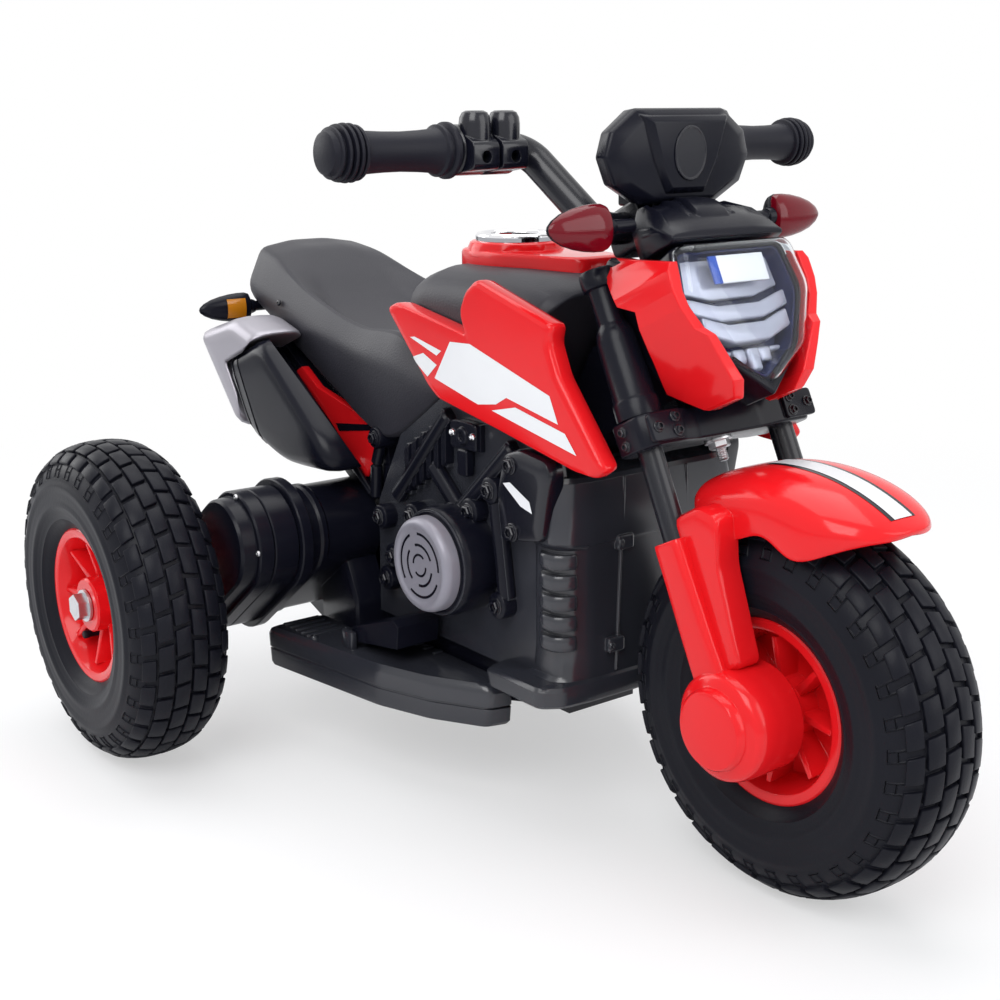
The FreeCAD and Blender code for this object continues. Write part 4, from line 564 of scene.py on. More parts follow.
def rod(start: Point, end: Point, radius: float, sides: int = 16, edge: float = 1.0) -> Piece:
    """A round bar with softened ends.

    Args:
        start: One end.
        end: The other end.
        radius: Its radius.
        sides: Sides of its section.
        edge: Softening of its ends.

    Returns:
        The bar.
    """
    way = Vector(end) - Vector(start)
    neck, long = radius - edge, way.length
    profile = [(0, 0), (neck, 0), (radius, edge), (radius, long - edge), (neck, long), (0, long)]
    return turned(profile, start, way.normalized(), sides)


def bolt(at: Point, axis: Point, radius: float, height: float) -> Piece:
    """A socket-head bolt on a washer.

    Args:
        at: Middle of its seat.
        axis: Way that it points.
        radius: Head radius.
        height: Head height.

    Returns:
        The bolt.
    """
    washer = ((0, -0.5 / height), (1.3, -0.5 / height), (1.3, 0.2), (1.18, 0.3), (0, 0.3))
    head = ((0, 0), (1, 0), (1, 0.8), (0.85, 1), (0.58, 1), (0.5, 0.45), (0, 0.4))
    return join([turned([(radius * r, height * a) for r, a in profile], at, axis, steps)
                 for profile, steps in ((washer, 24), (head, 6))])


def screw(at: Point, axis: Point, radius: float) -> Piece:
    """A small round screw head with a dished middle.

    Args:
        at: Middle of its seat.
        axis: Way that it points.
        radius: Head radius.

    Returns:
        The screw head.
    """
    dish = ((1, 0.25), (0.8, 0.55), (0.42, 0.6), (0.3, 0.2), (0, 0.15))
    return turned([(0, -0.6), (radius, -0.6)] + [(radius * r, radius * a) for r, a in dish], at, axis, 20)


def decal(target: Piece, planes: Sequence[Plane], lift: float, facing: Point) -> Piece:
    """Cuts a thin coat out of a copy of a surface.

    Args:
        target: The piece that it lies on.
        planes: Points and outward directions of the cuts.
        lift: Height over the surface.
        facing: Faces that look away from this direction are dropped.

    Returns:
        The coat.
    """
    piece = copied(target, Matrix.Identity(4))
    with editing(piece):
        for spot, way in planes:
            bpy.ops.mesh.select_all(action="SELECT")
            bpy.ops.mesh.bisect(plane_co=Vector(spot) * MM, plane_no=way, clear_outer=True)
        bpy.ops.mesh.select_all(action="DESELECT")
        mesh = bmesh.from_edit_mesh(piece.data)
        for face in mesh.faces:
            face.select = face.normal.dot(Vector(facing)) < 0.12
        bmesh.update_edit_mesh(piece.data)
        bpy.ops.mesh.delete(type="FACE")
    return modify(piece, "DISPLACE", strength=lift * MM, mid_level=0.0)


def lean(reach: float, side: float, height: float) -> Point:
    """A point of the leaned fork.

    Args:
        reach: Way ahead of the steering axis.
        side: Way to the left.
        height: Height above the front axle along that axis.

    Returns:
        The point in the part's frame.
    """
    return (FRONT_AXLE[0] + reach * FORK_FACE[0] + height * STEER_AXIS[0], side,
            FRONT_AXLE[2] + reach * FORK_FACE[2] + height * STEER_AXIS[2])


def rounded(corners: Outline, radius: float, steps: int = 4) -> list[Pair]:
    """Rounds the corners of a closed outline.

    Args:
        corners: The sharp outline.
        radius: How far from each corner its curve starts.
        steps: Steps in each curve.

    Returns:
        The outline with curves for corners.
    """
    path: list[Pair] = []
    for number, corner in enumerate(corners):
        spot = Vector(corner)
        before = Vector(corners[number - 1]) - spot
        after = Vector(corners[(number + 1) % len(corners)]) - spot
        first = spot + before.normalized() * min(radius, before.length * 0.46)
        last = spot + after.normalized() * min(radius, after.length * 0.46)
        for share in (step / steps for step in range(steps + 1)):
            curve = first * (1 - share) ** 2 + spot * (2 * share * (1 - share)) + last * share ** 2
            path.append((curve.x, curve.y))
    return path


def drawn(outline: Outline, middle: Pair, keep: float) -> list[Pair]:
    """Draws an outline in towards its middle."""
    return [(middle[0] + (a - middle[0]) * keep, middle[1] + (b - middle[1]) * keep) for a, b in outline]


def layered(outline: Outline, middle: Pair, layers: Outline, place: Place) -> Rings:
    """Rings of one outline at a row of depths.

    Args:
        outline: The outline.
        middle: Where it draws in to.
        layers: Depths, each with the share of the outline that is kept there.
        place: Puts a depth and an outline point into the part's frame.

    Returns:
        One ring for each layer.
    """
    return [[place(depth, a, b) for a, b in drawn(outline, middle, keep)] for depth, keep in layers]


def slab(outline: Outline, low: float, high: float, place: Place) -> Rings:
    """Two rings of one outline, for an even plate."""
    return layered(outline, (0.0, 0.0), ((low, 1.0), (high, 1.0)), place)


def onward(x: float, y: float, z: float) -> Point:
    """Places layers along the bike."""
    return (x, y, z)


def raised(side: int, base: float = 0.0) -> Place:
    """Places layers above each other on one side of the bike."""
    return lambda height, x, y: (x, side * y, base + height)


def beside(side: int) -> Place:
    """Places layers out to one side of the bike."""
    return lambda away, x, z: (x, side * away, z)


def fork_side(side: int) -> Place:
    """Places layers out to one side of the fork."""
    return lambda away, reach, height: lean(reach, side * away, height)


def both_sides(half: Outline) -> list[Pair]:
    """A plan that is the same on the right and the left, from its left half."""
    return [(x, -y) for x, y in half] + [(x, y) for x, y in reversed(half)]


def box(low: Pair, high: Pair) -> list[Pair]:
    """A four-cornered outline between two corners."""
    return [low, (high[0], low[1]), high, (low[0], high[1])]


def fence(outline: Outline) -> list[Plane]:
    """Cutting planes across the bike that keep the inside of a convex side view outline.

    Args:
        outline: The outline.

    Returns:
        A point and an outward direction for each edge.
    """
    middle = sum((Vector(spot) for spot in outline), Vector((0.0, 0.0))) / len(outline)
    planes = []
    for number, corner in enumerate(outline):
        start, end = Vector(corner), Vector(outline[(number + 1) % len(outline)])
        way = Vector((end.y - start.y, start.x - end.x)).normalized()
        if way.dot(start - middle) < 0:
            way = -way
        planes.append(((start.x, 0.0, start.y), (way.x, 0.0, way.y)))
    return planes


@dataclass
class Group:
    """One sub-assembly, whose pieces ride on one body of the part."""

    paint: Paint
    body: str = "chassis"

    def seat(self, name: str, pieces: Sequence[Piece], finish: Finish, *nodes: str, slot: str = "",
             body: str = "") -> None:
        """Joins pieces, names and paints them, rides them on a body and hides the nodes that they stand for.

        Args:
            name: Name of the joined piece.
            pieces: What it is made of.
            finish: Its finish.
            nodes: CAD nodes that it replaces.
            slot: The record's material slot, where it isn't the finish's own; not used.
            body: The CAD body that carries it, where it isn't the group's own.
        """
        piece = join(pieces)
        piece.name = piece.data.name = name
        piece.data.materials.clear()
        piece.data.materials.append(self.paint.of(finish))
        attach(piece, body or self.body)
        if nodes:
            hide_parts(*nodes)
        LOG.info("%s rides on %s", name, body or self.body)


@dataclass
class Tyre:
    """A treaded air tyre about the y axis."""

    crown: float = 126.3
    middle: float = 90.5
    half_width: float = 41.2
    square: float = 2.45
    bead_angle: float = 140.0
    bead: Outline = ((60.5, 29), (60.5, 22.5), (64, 22.5))
    wall_rings: Sequence[int] = (25, 26, 31, 32, 37)
    tread: float = 3.5
    root: float = 3.0
    pitches: int = 34
    skew: float = 0.22
    # share of a pitch, way across, length, width and share of the tread's height
    lug_rows: Rows = ((0, 6.6, 20.5, 11.2, 1), (0.5, 19.4, 20, 11.2, 1), (0, 31.8, 18.5, 10.4, 0.8),
                      (0.45, 42, 1.6, 13, 0.22), (0.8, 42, 1.6, 13, 0.22), (0.62, 47.8, 10, 1.4, 0.22),
                      (0.62, 41.5, 7, 1.4, 0.22))
    ring_height: float = 0.9
    lug_edge: float = 0.9

    def section(self, angle: float) -> Pair:
        """A point of the carcass section.

        Args:
            angle: Degrees from the crown.

        Returns:
            Radius and place across.
        """
        rise, wide = (math.copysign(abs(part) ** (2.0 / self.square), part)
                      for part in (math.cos(math.radians(angle)), math.sin(math.radians(angle))))
        return self.middle + (self.crown - self.middle) * rise, self.half_width * wide

    def along(self, steps: int = 280) -> list[Point]:
        """Measures the section.

        Args:
            steps: Steps from the crown to the bead.

        Returns:
            Rows of arc length, radius and place across.
        """
        rows = [(0.0, *self.section(0.0))]
        for step in range(1, steps + 1):
            radius, wide = self.section(self.bead_angle * step / steps)
            last = rows[-1]
            rows.append((last[0] + math.hypot(radius - last[1], wide - last[2]), radius, wide))
        return rows

    def bent(self, rows: Sequence[Point], spot: Vector) -> Vector:
        """Bends a flat tread point onto the carcass.

        Args:
            rows: Table made by along.
            spot: Way round, way across and height.

        Returns:
            The point about the wheel's centre.
        """
        reach = min(abs(spot.y), rows[-2][0])
        index = next(i for i, row in enumerate(rows) if row[0] > reach)
        low, high = Vector(rows[index - 1]), Vector(rows[index])
        _, radius, wide = low.lerp(high, (reach - low.x) / (high.x - low.x))
        run = Vector((high.z - low.z, high.y - low.y)).normalized()
        radius += run.x * spot.z
        wide -= run.y * spot.z
        turn = spot.x / (self.crown + self.tread)
        return Vector((radius * math.sin(turn), math.copysign(wide, spot.y or 1.0), radius * math.cos(turn)))

    def carcass(self, steps: int = 44) -> Piece:
        """The plain body of the tyre with moulded rings on its side walls.

        Args:
            steps: Steps of the section on each side.

        Returns:
            The carcass.
        """
        half = []
        for step in range(steps + 1):
            radius, wide = self.section(self.bead_angle * step / steps)
            half.append((radius, wide + (self.ring_height if step in self.wall_rings else 0.0)))
        half += self.bead
        return lathe(half + [(radius, -wide) for radius, wide in reversed(half)][:-1], LARGE_ROUND)

    def lugs(self) -> Piece:
        """The tread blocks: a zig-zag middle, side rows and shoulder lugs.

        Returns:
            All blocks as one piece.
        """
        pitch = math.tau * (self.crown + self.tread) / self.pitches
        table = self.along()
        lugs = []
        for share, away, length, width, height in self.lug_rows:
            lift = self.tread * height
            for sign, shift in ((1, 0.0), (-1, 0.5)):
                at = (pitch * ((share + shift) % 1.0), sign * away, (lift - self.root) / 2)
                lug = block((length, width, lift + self.root), at, self.lug_edge, 1)
                for vertex in lug.data.vertices:
                    spot = vertex.co / MM
                    spot.x += sign * self.skew * (spot.y - at[1])
                    vertex.co = self.bent(table, spot) * MM
                lugs.append(lug)
        return spun(join(lugs), self.pitches)

    def build(self) -> Piece:
        """Carcass and tread as one piece."""
        return smooth(join([self.carcass(), self.lugs()]), 32.0)


@dataclass
class Wheels(Group):
    """Tyres, dished rims and valves of the three wheels."""

    track: float = 258.0
    rim_half: Outline = (
        (8.3, 29), (20.5, 29), (22, 27.5), (22.4, 4.2), (48.4, 3.6), (50, 18), (54.3, 28.4),
        (55.3, 30.3), (57, 31.1), (61.4, 31.1), (62.8, 30.2), (62.8, 28.8), (60.4, 27), (57, 25),
        (53.6, 20))
    web: Point = (5.2, 44.0, 30.0)
    web_foot: float = 20.5
    webs: int = 8
    valve: Outline = (
        (0, 0), (4.2, 0), (3.6, 6), (2.9, 7.4), (2.9, 17), (3.3, 17.6), (3.3, 21), (2.6, 22), (0, 22))
    valve_foot: Point = (-23.5, 3.0, -32.5)
    web_edge: float = 0.9
    # at the hub and at the rim
    web_thick_shares: Pair = (1.25, 0.75)
    web_wide_shares: Pair = (0.82, 1.18)

    def rim(self) -> Piece:
        """A dished rim about the origin: thin lips, a deep well, a hub and webs.

        Returns:
            The rim.
        """
        body = lathe([*self.rim_half, *((radius, -wide) for radius, wide in reversed(self.rim_half))],
                     LARGE_ROUND)
        web = block(self.web, (0.0, 0.0, self.web_foot + self.web[2] / 2), self.web_edge)
        for vertex in web.data.vertices:
            share = (vertex.co.z / MM - self.web_foot) / self.web[2]
            for axis, (foot, end) in enumerate((self.web_thick_shares, self.web_wide_shares)):
                vertex.co[axis] *= foot + (end - foot) * share
        return smooth(join([body, spun(web, self.webs)]), 32.0)

    def dress(self) -> None:
        """Builds the tyres, rims and valves and seats them on their bodies."""
        tyre, rim = Tyre().build(), self.rim()
        for end, pattern, axle, away, side in (("front", "front_%s", FRONT_AXLE, 0.0, -1),
                                               ("right", "rear_%s_right", REAR_AXLE, -self.track, -1),
                                               ("left", "rear_%s_left", REAR_AXLE, self.track, 1)):
            at = Vector((axle[0], away, axle[2]))
            body = pattern % "wheel"
            for kind, plan, finish in (("tyre", tyre, TYRE), ("rim", rim, RED)):
                piece = copied(plan, Matrix.Translation(at * MM))
                self.seat(f"{kind}_{end}", [piece], finish, pattern % kind, body=body)
            foot = at + Vector(self.valve_foot) * Vector((1.0, side, 1.0))
            valve = turned(self.valve, foot, outward(side), 24)
            self.seat(f"valve_{end}", [valve], GRIP, slot="tyre_rubber", body=body)
        for plan in (tyre, rim):
            bpy.data.objects.remove(plan, do_unlink=True)


@dataclass
class TankSides(Group):
    """The red side panels of the tank with their white bands, and the black cover between them."""

    outline: Outline = (
        (-92, 367), (-39, 314), (-26, 306), (50, 293), (131, 278), (150, 277), (160, 284), (113, 339),
        (103, 361), (106, 373), (22, 397), (10, 388), (3, 374), (10, 357), (-80, 372))
    middle: Pair = (30, 332)
    layers: Outline = (
        (80.4, 0.975), (81.2, 0.985), (86, 1), (91.6, 1), (93.6, 0.992), (94.9, 0.976), (95.4, 0.95),
        (95.5, 0.9), (95.5, 0.6))
    bands: Sequence[Outline] = (
        ((-58, 333), (-42, 338), (-25, 331), (-37, 321)), ((-59, 348), (-53, 349), (-19, 342), (-25, 338)),
        ((-8, 350), (16, 351), (25, 309), (-28, 321)), ((16, 351), (105, 326), (114, 308), (21.57, 325)),
        ((21.57, 325), (58, 318.3), (46, 312), (25, 309)), ((41, 307), (68, 313), (121, 303), (133, 290)))
    # place along the bike, lowest and highest height, half width and whether the nose is undercut there
    cover_rows: Rows = (
        (-99.5, 356, 366, 58, 0), (-97, 344, 380, 69, 0), (-88, 336, 392, 76, 0), (-66, 334, 398, 79, 0),
        (10, 334, 399, 79.4, 0), (52, 322, 398, 79.4, 1), (70, 310, 394, 79, 1), (79, 300, 388, 77, 1))
    undercut: float = 0.62
    undercut_top: float = 384.0
    # how far the cover's shoulder lies in and down
    shoulder: Pair = (24.0, 14.0)
    cover_corner: float = 14.0
    panel_corner: float = 4.5
    band_lift: float = 0.35

    def cover(self) -> Piece:
        """The black cover, its nose undercut above the steering neck.

        Returns:
            The cover.
        """
        inset, drop = self.shoulder
        rings = []
        for x, low, high, half, nose in self.cover_rows:
            corners = ((-half, low), (half, low), (half, high - drop), (half - inset, high),
                       (inset - half, high), (-half, high - drop))
            rings.append([(x - nose * self.undercut * max(0.0, self.undercut_top - z), y, z)
                          for y, z in rounded(corners, self.cover_corner)])
        return solid(rings, 2.0, 50.0)

    def dress(self) -> None:
        """Builds the tank's visible pieces."""
        path = rounded(self.outline, self.panel_corner, 5)
        for side, word in SIDES.items():
            panel = solid(layered(path, self.middle, self.layers, beside(side)), angle=30.0)
            bands = [decal(panel, fence(band), self.band_lift, outward(side)) for band in self.bands]
            self.seat(f"tank_side_{word}", [panel], RED, f"tank_panel_{word}")
            self.seat(f"tank_side_{word}_bands", bands, WHITE)
        self.seat("tank_pad", [self.cover()], SEAT_SKIN, "tank_cover", slot="black_satin")


@dataclass
class Saddle(Group):
    """The moulded seat."""

    # place along the bike, then half width and height of hem, flank, rim and dish
    stations: Rows = (
        (-373, 56, 352, 59, 364, 44, 391, 16, 397), (-366, 61, 349, 64, 361, 50, 393, 18, 398),
        (-352, 64, 343, 66, 357, 53, 391, 20, 396), (-328, 66, 334, 68, 352, 56, 386, 24, 391),
        (-300, 69, 323, 71, 346, 60, 377, 34, 375), (-268, 72, 311, 74, 340, 64, 367, 42, 353),
        (-232, 75, 297, 77, 334, 67, 358, 47, 341), (-196, 77.5, 283, 79.5, 329, 70, 350, 49, 334),
        (-160, 80, 268, 82, 324, 72, 345, 51, 334), (-128, 81.5, 259, 84, 321, 74, 346, 51, 338),
        (-101, 82.5, 264, 86, 319, 77, 345, 51, 341), (-74, 82.5, 280, 86, 314, 78, 334, 51, 332),
        (-44, 82, 300, 84, 312, 77, 322, 51, 320))
    steps: int = 4
    plug: Point = (-299, 71.5, 350)
    plug_radius: float = 2.6
    corner: float = 7.0
    # share of the end section that is kept, and its move along the bike
    tail_rings: Outline = ((0.86, -1.4), (0.93, -1.2), (0.975, -0.6))
    nose_ring: Pair = (0.97, 0.6)

    def row(self, place: float) -> list[float]:
        """Station values between stations, on a smooth curve through them.

        Args:
            place: Number of the station, with a fraction.

        Returns:
            The values there.
        """
        last = len(self.stations) - 1
        index = min(int(place), last - 1)
        t = place - index
        quad = [self.stations[max(0, min(last, index + shift))] for shift in (-1, 0, 1, 2)]
        return [0.5 * (2 * b + (c - a) * t + (2 * a - 5 * b + 4 * c - d) * t ** 2
                       + (3 * b - a - 3 * c + d) * t ** 3)
                for a, b, c, d in zip(*quad)]

    def ring(self, row: Sequence[float], keep: float = 1.0, shift: float = 0.0) -> list[Point]:
        """The seat's section.

        Args:
            row: Station values.
            keep: Share of the section that is kept.
            shift: Move along the bike.

        Returns:
            The ring.
        """
        x, *sizes = row
        left = list(zip(sizes[0::2], sizes[1::2]))
        loop = rounded([(-half, z) for half, z in reversed(left)] + left, self.corner, 3)
        middle = (left[0][1] + left[2][1]) / 2
        return [(x + shift, y, z) for y, z in drawn(loop, (0.0, middle), keep)]

    def dress(self) -> None:
        """Builds the seat and its plugs."""
        rows = [self.row(step / self.steps) for step in range(self.steps * (len(self.stations) - 1) + 1)]
        tail = [self.ring(rows[0], *end) for end in self.tail_rings]
        rings = tail + [self.ring(row) for row in rows] + [self.ring(rows[-1], *self.nose_ring)]
        self.seat("saddle", [solid(rings, angle=26.0)], SEAT_SKIN, "seat")
        x, away, z = self.plug
        plugs = [screw((x, side * away, z), (0.0, side, 0.2), self.plug_radius) for side in SIDES]
        self.seat("saddle_plugs", plugs, BLACK_GLOSS)


@dataclass
class Fender(Group):
    """The bulged front fender with its striped ridge and the stays beside the fork legs."""

    body: str = "steering"
    wall: float = 3.0
    # degrees forward of upright, half width, then radius of ridge, shoulder and skirt
    stations: Rows = (
        (-24.8, 46, 157, 148, 130), (-21, 48.5, 158.5, 148, 125), (-15, 49.3, 159.5, 148, 119),
        (-8, 49.5, 160.2, 148, 115), (-3, 49.5, 160.4, 148, 119), (3, 49.4, 160.5, 148.5, 124),
        (9, 49.3, 160.5, 148.5, 119), (14, 49.2, 160.5, 148.5, 115.5), (19, 48, 160.5, 149, 118),
        (24, 44, 160.5, 150, 130), (28, 37, 160.5, 152, 142), (31, 26, 160.2, 154.5, 150.5),
        (32.6, 15, 159.4, 156.2, 154))
    stay: Outline = ((4, 30), (25, 33), (28, 60), (32, 96), (44, 127), (30, 138), (4, 136))
    stay_layers: Outline = ((45.8, 1), (61, 1), (64.2, 0.965), (65.4, 0.9), (65.6, 0.7))
    web: Outline = ((-8, 41), (26, 41), (30, 92), (42, 126), (30, 136), (-10, 134))
    stripe_ends: Pair = (-9.0, 28.5)
    stay_middle: Pair = (19, 86)
    web_depth: Pair = (45.9, 49.7)
    # half width and height over the fender
    stripe_edge: Pair = (11.4, 0.3)
    stripe_face: Pair = (8.2, 0.55)

    def spot(self, angle: float, side: float, radius: float) -> Point:
        """A point about the front axle."""
        turn = math.radians(angle)
        return (FRONT_AXLE[0] + radius * math.sin(turn), side, FRONT_AXLE[2] + radius * math.cos(turn))

    def shell(self) -> Piece:
        """The arched shell, extruded from tail to nose and smoothed.

        Returns:
            The shell.
        """
        rings = []
        for angle, half, ridge, shoulder, skirt in self.stations:
            left = [(half * 0.2, ridge), (half * 0.42, ridge - 0.6),
                    (half * 0.74, (ridge + shoulder) / 2 + 1.5), (half * 0.95, shoulder - 1.0),
                    (half, shoulder - (shoulder - skirt) * 0.4), (half, skirt)]
            outer = [(-s, r) for s, r in reversed(left)] + left
            share = (half - self.wall) / half
            inner = [(s * share, r if r == skirt else max(skirt, r - self.wall)) for s, r in outer]
            rings.append([self.spot(angle, s, r) for s, r in outer + inner[::-1]])
        return smooth(modify(skin(rings), "SUBSURF", levels=2, render_levels=2), 50.0)

    def stripe(self, shell: Piece, half: float, lift: float) -> Piece:
        """A stripe along the ridge.

        Args:
            shell: The fender.
            half: Half its width.
            lift: Height over the fender.

        Returns:
            The stripe.
        """
        planes = [((0.0, side * half, 0.0), outward(side)) for side in (1, -1)]
        for angle, sign in zip(self.stripe_ends, (-1.0, 1.0)):
            turn = math.radians(angle)
            planes.append((FRONT_AXLE, (sign * math.cos(turn), 0.0, -sign * math.sin(turn))))
        return decal(shell, planes, lift, (0.25, 0.0, 1.0))

    def dress(self) -> None:
        """Builds the fender, its stripes and stays."""
        shell = self.shell()
        black, white = self.stripe(shell, *self.stripe_edge), self.stripe(shell, *self.stripe_face)
        stay, web = rounded(self.stay, 6.0), rounded(self.web, 5.0)
        stays = [solid(layered(stay, self.stay_middle, self.stay_layers, fork_side(side))) for side in SIDES]
        stays += [solid(slab(web, *self.web_depth, fork_side(side)), 0.8) for side in SIDES]
        self.seat("fender", [shell] + stays, RED, "front_fender")
        self.seat("fender_stripe_edges", [black], BLACK_GLOSS)
        self.seat("fender_stripe", [white], SILVER_BAND)


@dataclass
class Headlamp(Group):
    """Lamp housing, its inside, the clear shell and the red panels beside it."""

    body: str = "steering"
    shield: Outline = ((-51, 299), (-57.5, 264), (-36, 222), (0, 200.5), (36, 222), (57.5, 264), (51, 299))
    middle: Pair = (0, 256)
    glass: Outline = (
        (72.8, 0.32), (72.4, 0.65), (71.5, 0.808), (69.7, 0.9), (66.7, 0.95), (60.4, 0.966), (60.4, 0.985),
        (67.2, 0.97), (70.6, 0.915), (72.6, 0.82), (73.6, 0.66), (74, 0.32))
    tub: Outline = ((44.4, 0.5), (45.4, 0.81), (58.8, 0.9), (58.8, 0.87), (47.4, 0.785), (46.4, 0.5))
    case: Outline = ((28, 0.88), (29.5, 0.93), (57, 1), (60.2, 0.995), (60.2, 0.91), (44, 0.83))
    back: Outline = ((-44, 270), (-41, 293), (41, 293), (44, 270), (20, 264), (-20, 264))
    chin: Outline = ((-30, 218), (0, 194), (30, 218), (26, 224), (0, 203), (-26, 224))
    flank: Outline = ((2, 306), (10, 313), (34, 299), (34, 208), (8, 208), (5, 258), (2, 281))
    flank_layers: Outline = ((44, 1), (56, 1), (59, 0.97), (60.4, 0.9))
    # height, reach at back and front, then width inside and outside at front and back
    cheek_rows: Rows = (
        (311, 11.5, 13.5, 52, 52, 55, 56), (299, 10, 39.5, 52, 53, 60, 66),
        (287, 12.3, 67, 53, 55, 61.5, 67.2), (282, 13.2, 67, 54, 55.6, 65, 67.4),
        (277, 14.5, 66.8, 55, 56, 65.5, 67.5), (268, 29.5, 66.6, 56.5, 57.2, 65.8, 67.6),
        (257, 26.4, 66.3, 54.5, 55.4, 63.6, 65.6), (243, 22.2, 66, 46.8, 47.8, 57, 59.5),
        (236, 20.1, 71, 43.4, 44.8, 52.5, 56), (222, 15.2, 68.8, 35.4, 37, 46, 49.5),
        (215, 13, 67.6, 31, 33, 42.5, 46), (206, 22, 66, 25, 27.5, 38, 41),
        (197.5, 31, 58.4, 23, 24, 33, 36), (196, 33, 57, 23, 24, 31, 33))
    # half width with its low and high edge at the ends, the same at the flat middle, and reach
    chevrons: Rows = ((45, 255, 266, 19, 248, 259, 55), (39, 240, 252, 16, 232, 245, 57.5))
    floor: float = 46.0
    back_top: float = 51.0
    chin_depth: Pair = (34.0, 62.0)
    flank_middle: Pair = (16, 256)
    flank_slope: float = 0.46
    flank_top: float = 262.0
    flank_least: float = 30.0
    flute_pitch: float = 11.5
    flute_half: Pair = (5.2, 5.4)
    flute_height: Pair = (213.0, 229.0)
    flute_rise: float = 6.0
    flute_reach: float = 55.0
    plate: Corners = ((-13, 272), (30, 291))
    plate_depth: Pair = (57.6, 59.2)
    band: Corners = ((-20, 272), (-13, 291))
    band_depth: Pair = (57.6, 59.3)

    def bars(self) -> list[Piece]:
        """The light bars: a back plate and two chevrons.

        Returns:
            The bars.
        """
        bars = [solid(slab(self.back, self.floor, self.back_top, lean), 1.2)]
        for half, low, high, flat, bottom, top, reach in self.chevrons:
            outline = ((-half, low), (-flat, bottom), (flat, bottom), (half, low), (half, high), (flat, top),
                       (-flat, top), (-half, high))
            bars.append(solid(slab(outline, self.floor, reach, lean), 1.8))
        return bars

    def flutes(self) -> list[Piece]:
        """Five flutes in the lamp's chin.

        Returns:
            The flutes.
        """
        foot, top = self.flute_half
        low, high = self.flute_height
        flutes = []
        for number in range(-2, 3):
            middle, base = number * self.flute_pitch, low + abs(number) * self.flute_rise
            outline = ((middle - foot, base), (middle + foot, base), (middle + top, high),
                       (middle - top, high))
            flutes.append(solid(slab(outline, self.floor, self.flute_reach - abs(number), lean), 2.2))
        return flutes

    def cheek(self, side: int) -> Piece:
        """One red panel beside the lamp.

        Args:
            side: Minus one for the right, one for the left.

        Returns:
            The panel.
        """
        rings = []
        for height, back, front, in_back, in_front, out_front, out_back in self.cheek_rows:
            loop = rounded(((back, in_back), (front, in_front), (front, out_front), (back, out_back)), 1.0, 2)
            rings.append([lean(reach, side * away, height) for reach, away in loop])
        return solid(rings, 0.8, 12.0)

    def flank_place(self, side: int) -> Place:
        """Places layers of the housing's flank, which draws in below the lamp's widest line.

        Args:
            side: Minus one for the right, one for the left.

        Returns:
            What puts a layer's point into the part's frame.
        """
        return lambda away, reach, height: lean(
            reach, side * max(self.flank_least,
                              away - self.flank_slope * max(0.0, self.flank_top - height)), height)

    def dress(self) -> None:
        """Builds the lamp's visible pieces."""
        path, flank = rounded(self.shield, 6.0, 3), rounded(self.flank, 4.0, 3)
        housing = [solid(layered(path, self.middle, self.case, lean), 1.0),
                   solid(slab(self.chin, *self.chin_depth, lean), 2.0)]
        housing += [solid(layered(flank, self.flank_middle, self.flank_layers, self.flank_place(side)), 1.0)
                    for side in SIDES]
        self.seat("lamp_housing", housing, BLACK, "headlamp_cowl")
        tub = solid(layered(path, self.middle, self.tub, lean))
        self.seat("lamp_tub", [tub], SMOKE, "headlamp_reflector")
        self.seat("lamp_bars", self.bars(), SHINE)
        self.seat("lamp_flutes", self.flutes(), SHINE)
        for name, corners, depth, finish in (("lamp_plate", self.plate, self.plate_depth, WHITE),
                                             ("lamp_plate_band", self.band, self.band_depth, BLUE)):
            self.seat(name, [solid(slab(box(*corners), *depth, lean), 0.3)], finish)
        glass = solid(layered(rounded(self.shield, 7.0), self.middle, self.glass, lean), angle=40.0)
        self.seat("lamp_glass", [glass], CLEAR, "headlamp_lens")
        self.seat("lamp_cheeks", [self.cheek(side) for side in SIDES], RED, "cowl_panels")


@dataclass(frozen=True)
class SignalPair:
    """Sizes of the front or rear signals."""

    name: str
    body: str
    middle: Point
    look: Point
    start: float
    length: float
    radius: float
    root: float
    glass: Finish


FRONT_SIGNALS = SignalPair("front", "steering", lean(36, 0, 324), look=(1.0, 0.0, 0.12), start=76, length=49,
                           radius=15.2, root=53, glass=RED_LENS)
REAR_SIGNALS = SignalPair("rear", "chassis", (-361, 0, 341.2), look=(-1.0, 0.0, 0.0), start=68, length=50,
                          radius=13, root=38, glass=AMBER)


